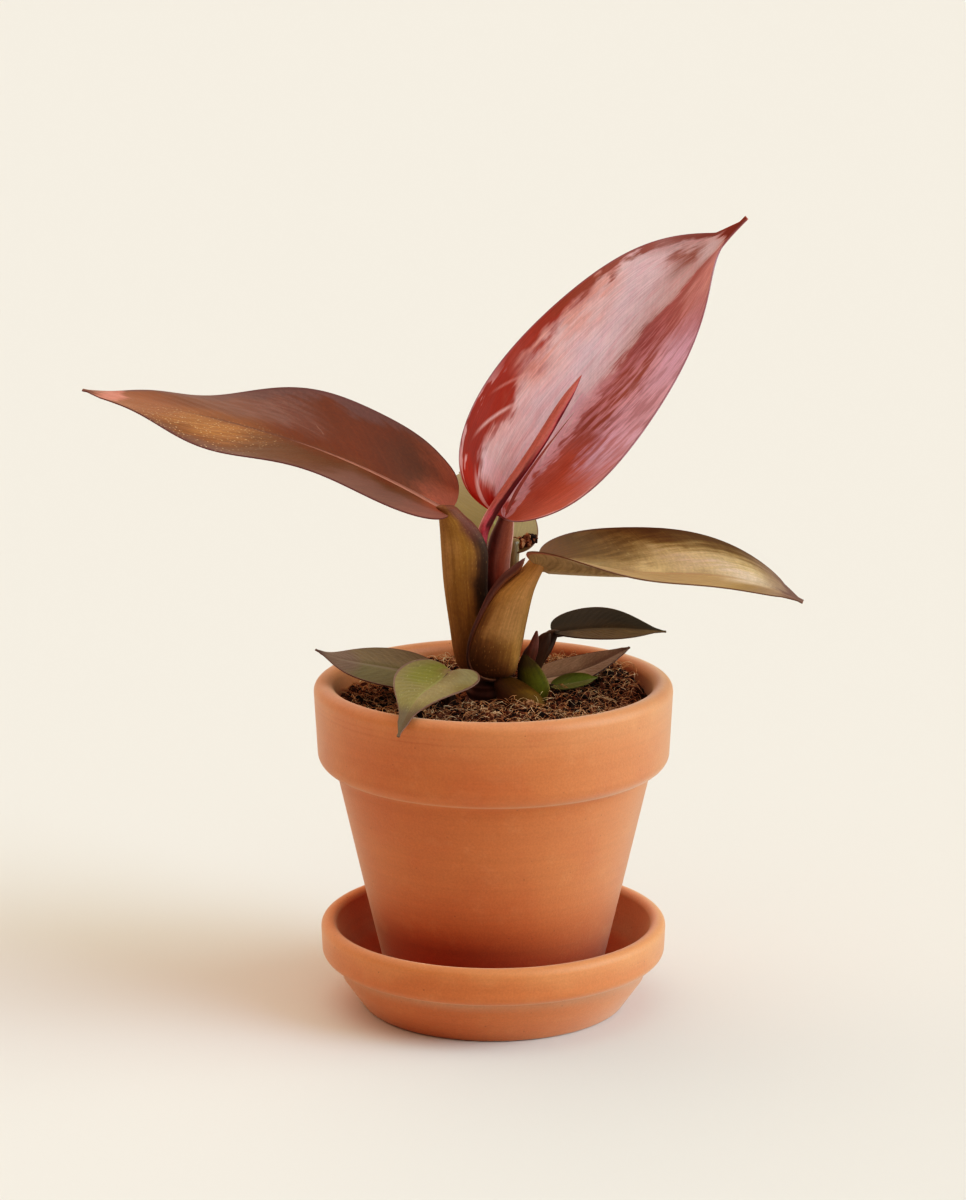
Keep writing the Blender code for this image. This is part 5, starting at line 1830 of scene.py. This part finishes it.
def grow_plant(paint: Palette) -> list[PlantPiece]:
    """Every leaf, stalk and scale of the plant, in the order in which they are built.

    Args:
        paint: The plant's finishes.

    Returns:
        The pieces, not yet built.
    """
    return [
        PlantPiece("left_stalk", Slot.OLIVE_STALK, stalk=paint.olive_petiole, tubes=(
            StalkForm(((-5, -0.2, 107.7, 3.5, 2.0), (-7.2, -1.6, 113, 4.9, 2.3), (-7.9, -3, 125, 6.1, 2.6),
                       (-8.8, -3.9, 138, 6.9, 2.8), (-9.2, -4.1, 149, 7.3, 2.9), (-10.9, -4.2, 156, 6.0, 2.8),
                       (-13.2, -4.1, 160.2, 4.2, 2.8), (-15.6, -4.1, 163.6, 3.2, 2.6))),
        )),
        PlantPiece("right_stalk", Slot.OLIVE_STALK, stalk=paint.sheath, edge=paint.lip, tubes=(
            StalkForm(((0, -5.2, 107.0, 5.6, 2.6), (-0.5, -8.2, 111.5, 7.7, 3.4), (0.5, -9.8, 119, 8.3, 3.8),
                       (2.6, -10.0, 127.5, 7.8, 3.8), (6.4, -9.4, 137, 6.2, 3.6), (12.2, -7.6, 144, 3.6, 3.0),
                       (15.2, -6.6, 148, 3.0, 2.8)), start_round=0.16),
            TubeForm(((3.4, -8.4, 107.8, 0.4), (-3.2, -9.6, 109.0, 0.5), (-7.6, -10.4, 113.4, 0.5),
                      (-7.8, -10.8, 119.3, 0.5), (-6.4, -11.2, 124.8, 0.55), (-4.0, -11.4, 130.2, 0.7),
                      (-0.8, -11.2, 136.4, 0.95), (3.0, -10.7, 141.2, 1.15), (7.0, -9.8, 144.4, 1.1),
                      (9.9, -9.2, 147.8, 0.4)), flatness=1.2),
        )),
        PlantPiece("new_stalk", Slot.RED_STALK, stalk=paint.red_petiole, tubes=(
            StalkForm(((3.6, -0.1, 107.7, 3.3, 2.0), (3.2, 1.4, 120, 3.6, 2.3), (1.1, 4.2, 140, 4.1, 2.5),
                       (2.2, 4.6, 150, 3.9, 2.3), (4.0, 4.3, 157.5, 2.6, 1.9), (4.6, 4.2, 160, 2.6, 1.8))),
        )),
        PlantPiece("back_stalk", Slot.OLIVE_STALK, stalk=paint.green_sheath, tubes=(
            StalkForm(((3.2, 5.2, 107.7, 3.1, 2.2), (3.4, 7.2, 116, 3.2, 2.4), (4.4, 10.6, 130, 2.8, 2.4),
                       (5.6, 13.2, 141, 2.5, 2.2), (6.2, 15.2, 149, 2.3, 2.2))),
        )),
        PlantPiece("rolled_leaf", Slot.RED_LEAF, stalk=paint.crimson, tube_rows=90, tube_columns=40, tubes=(
            StalkForm(((-3.2, 4.5, 107.7, 1.5, 1.2), (-3.4, 2.2, 130, 1.6, 1.2), (-3.7, -0.4, 150, 1.9, 1.2),
                       (-1.6, -1.6, 158, 2.2, 1.4), (3.6, -3.0, 167, 2.3, 1.5), (13.3, -4.4, 181.5, 2.4, 1.5),
                       (22.2, -4.6, 196.5, 1.9, 1.1), (27.3, -4.4, 204.8, 0.2, 0.2)),
                      seam=0.16, end_round=0.01),
        )),
        PlantPiece("brown_bract", Slot.RED_STALK, stalk=paint.brown_scale, edge=paint.maroon_wing, tubes=(
            StalkForm(((10.6, 1.0, 104, 2.4, 2.0), (11.8, 1.2, 110, 3.6, 2.2), (14.0, 1.8, 115, 4.4, 2.0),
                       (16.6, 3.0, 118.6, 3.4, 1.6), (19.4, 4.4, 121.4, 1.6, 1.1)), end_round=0.02),
            StalkForm(((10.6, -2.4, 110, 1.4, 0.8), (12.0, -2.6, 115, 1.8, 0.8),
                       (13.0, -2.6, 119.4, 1.3, 0.6), (13.6, -2.6, 122.8, 0.3, 0.3)), end_round=0.02),
            StalkForm(((10.4, 0.4, 106, 2.6, 1.6), (12.4, 0.2, 112, 3.4, 1.7), (14.4, 0.0, 117, 3.2, 1.4),
                       (16.2, 0.2, 120.2, 2.0, 1.0), (17.0, 0.4, 121.6, 0.8, 0.5)), end_round=0.08),
        )),
        PlantPiece("green_bract", Slot.GREEN_LEAF, stalk=paint.green_scale, tubes=(
            StalkForm(((12.4, -5.4, 99.5, 5.2, 2.2), (12.8, -5.2, 103.5, 5.4, 2.6),
                       (12.2, -4.6, 107.5, 4.8, 2.6), (11.0, -3.8, 111.5, 3.4, 2.0),
                       (9.8, -3.0, 115.2, 0.8, 0.8)), turn=16.0),
        )),
        PlantPiece("olive_bract", Slot.OLIVE_STALK, stalk=paint.olive_scale, tubes=(
            StalkForm(((9.0, -11.4, 97.6, 7.8, 2.6), (8.8, -11.2, 101.0, 7.6, 3.2),
                       (7.4, -10.4, 104.4, 6.6, 3.2), (4.8, -9.2, 107.4, 4.8, 2.4),
                       (3.6, -8.4, 109.2, 2.0, 1.0)), turn=8.0),
        )),
        PlantPiece("left_blade", Slot.BRONZE_LEAF, face=paint.bronze_face, back=paint.bronze_back,
                   stalk=paint.bronze_back, rows=170, columns=72, keel=1.9, blade=BladeForm(
            midrib=((-13.5, -4, 161), (-44, 0, 178), (-65, -5, 187.5), (-92, -3, 192), (-128, 0, 199.5)),
            half_width=26, base_power=0.48, tip_power=1.1, body_end=0.955, drip_width=4.2,
            roll=(24, 4), fold=(18, -8), sweep=(4, -50),
            left_wave=(2.4, 1.6, -0.16), right_wave=(2.4, 1.75, 0.71),
            touches=(Touch(1, 0.10, 0.10, 1.8), Touch(1, 0.02, 0.03, 1.2)), crease=0.09, groove=0.1)),
        PlantPiece("new_blade", Slot.RED_LEAF, face=paint.red_face, back=paint.red_back, stalk=paint.red_back,
                   rows=180, columns=80, keel=1.7, blade=BladeForm(
            midrib=((3.5, 2.3, 158), (7.5, 1.3, 173.5), (34.5, 9, 201.5), (57.5, 14, 229.5), (78, 2, 252.5)),
            half_width=29.5, base_power=0.44, tip_power=1.06, body_end=0.92, drip_width=3.9,
            roll=(-65, -49), fold=(34, 31), sweep=(-8, -50),
            left_wave=(2.2, 1.24, 0.36), right_wave=(2.4, 1.31, -1.0),
            crease=0.08, groove=0.1, pleat_depth=0.03)),
        PlantPiece("right_blade", Slot.OLIVE_LEAF, face=paint.olive_face, back=paint.olive_back,
                   stalk=paint.olive_back, rows=150, columns=64, keel=0.8, blade=BladeForm(
            midrib=((14.7, -6.5, 144), (43, -13.5, 143.5), (60.5, -11.5, 142), (72, -11, 147),
                    (96.5, -13, 134.5)),
            half_width=21, base_power=0.3, tip_power=0.64, body_end=0.93, drip_width=3.0,
            roll=(9.5, -34.5), fold=(27, 16.5), sweep=(20, 50), touches=(Touch(1, 0.08, 0.09, -1.0),),
            pleat_depth=0.03)),
        PlantPiece("back_blade", Slot.GREEN_LEAF, face=paint.green_face, back=paint.green_back,
                   stalk=paint.green_back, rows=100, columns=48, keel=1.3, blade=BladeForm(
            midrib=((5.5, 12.5, 144.5), (-0.5, 34, 152), (-5, 60, 158), (-11, 84, 157)),
            half_width=14.5, base_power=0.42, tip_power=1.0, body_end=0.93, drip_width=1.8,
            roll=(0, 4), fold=(14, 8), sweep=(18, -35), touches=(Touch(1, 0.3, 0.35, -1.9),),
            pleat_depth=0.03)),
        SmallLeaf("upper_small_leaf", Slot.GREY_LEAF, face=paint.small_dark, back=paint.small_back,
                  stalk=paint.small_back, rows=90, columns=40, keel=0.9, blade=BladeForm(
            midrib=((19, 5, 120.5), (29.3, 7.5, 121), (37, 3.5, 123), (55, 8, 120)),
            half_width=10.5, base_power=0.46, tip_power=1.07, body_end=0.93, drip_width=1.1,
            roll=(-7, -32), fold=(13, 11), sweep=(10, -32)),
            tubes=(TubeForm(((13.4, 6.2, 92, 1.6), (13.0, 6.2, 104, 1.6),
                              (14.6, 5.6, 113, 1.6), (19.6, 5.4, 119.6, 1.1))),)),
        SmallLeaf("lower_small_leaf", Slot.GREY_LEAF, face=paint.small_purple, back=paint.small_back,
                  stalk=paint.small_back, rows=80, columns=36, keel=0.7, blade=BladeForm(
            midrib=((10.5, 12.6, 102.9), (26.0, 12.4, 104.6), (33.0, 9, 108.6), (43.5, 10.5, 114.3)),
            half_width=7.0, base_power=0.46, tip_power=1.12, body_end=0.93, drip_width=1.4,
            roll=(-26, -29), fold=(3, 8), sweep=(6, -24)),
            tubes=(TubeForm(((12.2, 14.0, 92, 1.4), (11.0, 13.8, 97, 1.4),
                              (10.2, 13.2, 100.9, 1.2), (12.6, 12.6, 102.8, 0.8))),)),
        SmallLeaf("dark_small_leaf", Slot.GREY_LEAF, face=paint.small_grey, back=paint.small_back,
                  stalk=paint.small_back, rows=90, columns=40, keel=0.9, blade=BladeForm(
            midrib=((-17, -5.5, 108.2), (-43.5, -4.7, 114), (-46.7, -5, 112.5), (-56, -5, 117.5)),
            half_width=10.1, base_power=0.34, tip_power=1.22, body_end=0.93, drip_width=1.3,
            roll=(26, 5), fold=(4, -8), sweep=(-6, -28)),
            tubes=(TubeForm(((-13.6, -3.4, 92, 1.5), (-13.8, -3.6, 100, 1.5),
                              (-14.8, -4.6, 105, 1.4), (-19.0, -5.4, 108.2, 1.0))),)),
        SmallLeaf("heart_leaf", Slot.GREEN_LEAF, face=paint.heart_face, back=paint.green_back,
                  stalk=paint.small_back, rows=100, columns=48, keel=0.8, blade=BladeForm(
            midrib=((-13.5, -20, 114.4), (-20.5, -31, 109.5), (-24, -43, 115.5), (-29, -57, 103)),
            half_width=13, base_power=0.47, tip_power=1.45, body_end=0.9, drip_width=1.8,
            roll=(6.5, 3), fold=(10, 4), sweep=(24, -19)),
            tubes=(TubeForm(((-13.4, -4, 92, 1.6), (-13.6, -5, 102, 1.6),
                              (-13.8, -10, 110, 1.5), (-14.4, -21.2, 113.4, 1.0))),)),
        SmallLeaf("oval_small_leaf", Slot.GREEN_LEAF, face=paint.small_green, back=paint.small_back,
                  stalk=paint.small_back, rows=60, columns=30, keel=0.4, tube_rows=20, tube_columns=16,
                  blade=BladeForm(
            midrib=((18, -2.4, 105.1), (21.5, -2.9, 105.7), (25, -3.9, 106.4), (33, -1.6, 107.5)),
            half_width=3.7, base_power=0.6, tip_power=0.82, body_end=0.92, drip_width=1.1,
            roll=(-24, -24), fold=(4, 12), sweep=(6, -26)),
            tubes=(TubeForm(((16.4, 0.8, 94, 1.0), (16.5, 0.6, 100, 1.0),
                              (17.0, -0.8, 103.6, 0.9), (19.4, -2.4, 104.9, 0.6))),)),
    ]


def potting_soil() -> SoilBed:
    """The soil with its crumbs, its perlite, its fibres and its roots, not yet built."""
    mix = EarthFinish("potting_mix", (46, 24, 15), (122, 70, 45), (196, 142, 104))
    coir = EarthFinish("coir", (122, 70, 44), (208, 146, 102), (246, 210, 170))
    perlite = EarthFinish("perlite", (150, 140, 124), (206, 198, 184), (236, 230, 220))
    pale_root = EarthFinish("pale_root", (150, 112, 74), (198, 164, 118), (226, 200, 156))
    return SoilBed(
        mix,
        crumbs=(Crumbs("soil_crumbs", mix, 5000, sizes=(0.25, 1.9), squeeze=0.42, patch_count=90,
                       patch=((6.8, 14.6, 146.0), (7.0, 0.2, 1.0), (0.0, 5.0, 1.7))),
                Crumbs("soil_stones", perlite, 90, sizes=(0.3, 0.9), squeeze=0.8, patch_count=40,
                       patch=((2.0, -52.0, 97.5), (26.0, 2.0, 0.8), (-2.0, 12.0, 2.4)))),
        fibres=Fibres(coir),
        roots=Roots(pale_root, paths=(((28.6, -38.0, 0.6), (32.0, -36.0, 1.6), (36.0, -33.5, 1.2)),
                                      ((27.0, -28.0, 0.4), (31.0, -30.5, 1.0), (36.5, -31.0, 0.6)))),
    )


def main() -> None:
    """Build the studio, the clay, the soil and the plant, and note the model's size."""
    logging.basicConfig(level=logging.INFO, format="%(message)s")
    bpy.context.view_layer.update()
    Studio().build()
    # The deep colours are painted shade low on each vessel, and the saucer's inside colour is painted light.
    saucer_clay = ClayFinish("saucer_clay", (214, 120, 66), deep=(208, 112, 60), pale=(232, 152, 96),
                             deep_below=(2.0, 16.0), pale_above=(20.0, 30.0), inside=(205, 148, 114))
    pot_clay = ClayFinish("pot_clay", (206, 115, 63), deep=(188, 74, 31), pale=(222, 143, 92),
                          deep_below=(8.0, 54.0), pale_above=(88.0, 110.0), lines=(101.2, 99.4))
    Saucer(saucer_clay).build()
    Pot(pot_clay).build()
    potting_soil().build()
    paint = Palette()
    Stem(paint.stem).build()
    for piece in grow_plant(paint):
        piece.build()


if __name__ == "__main__":
    main()
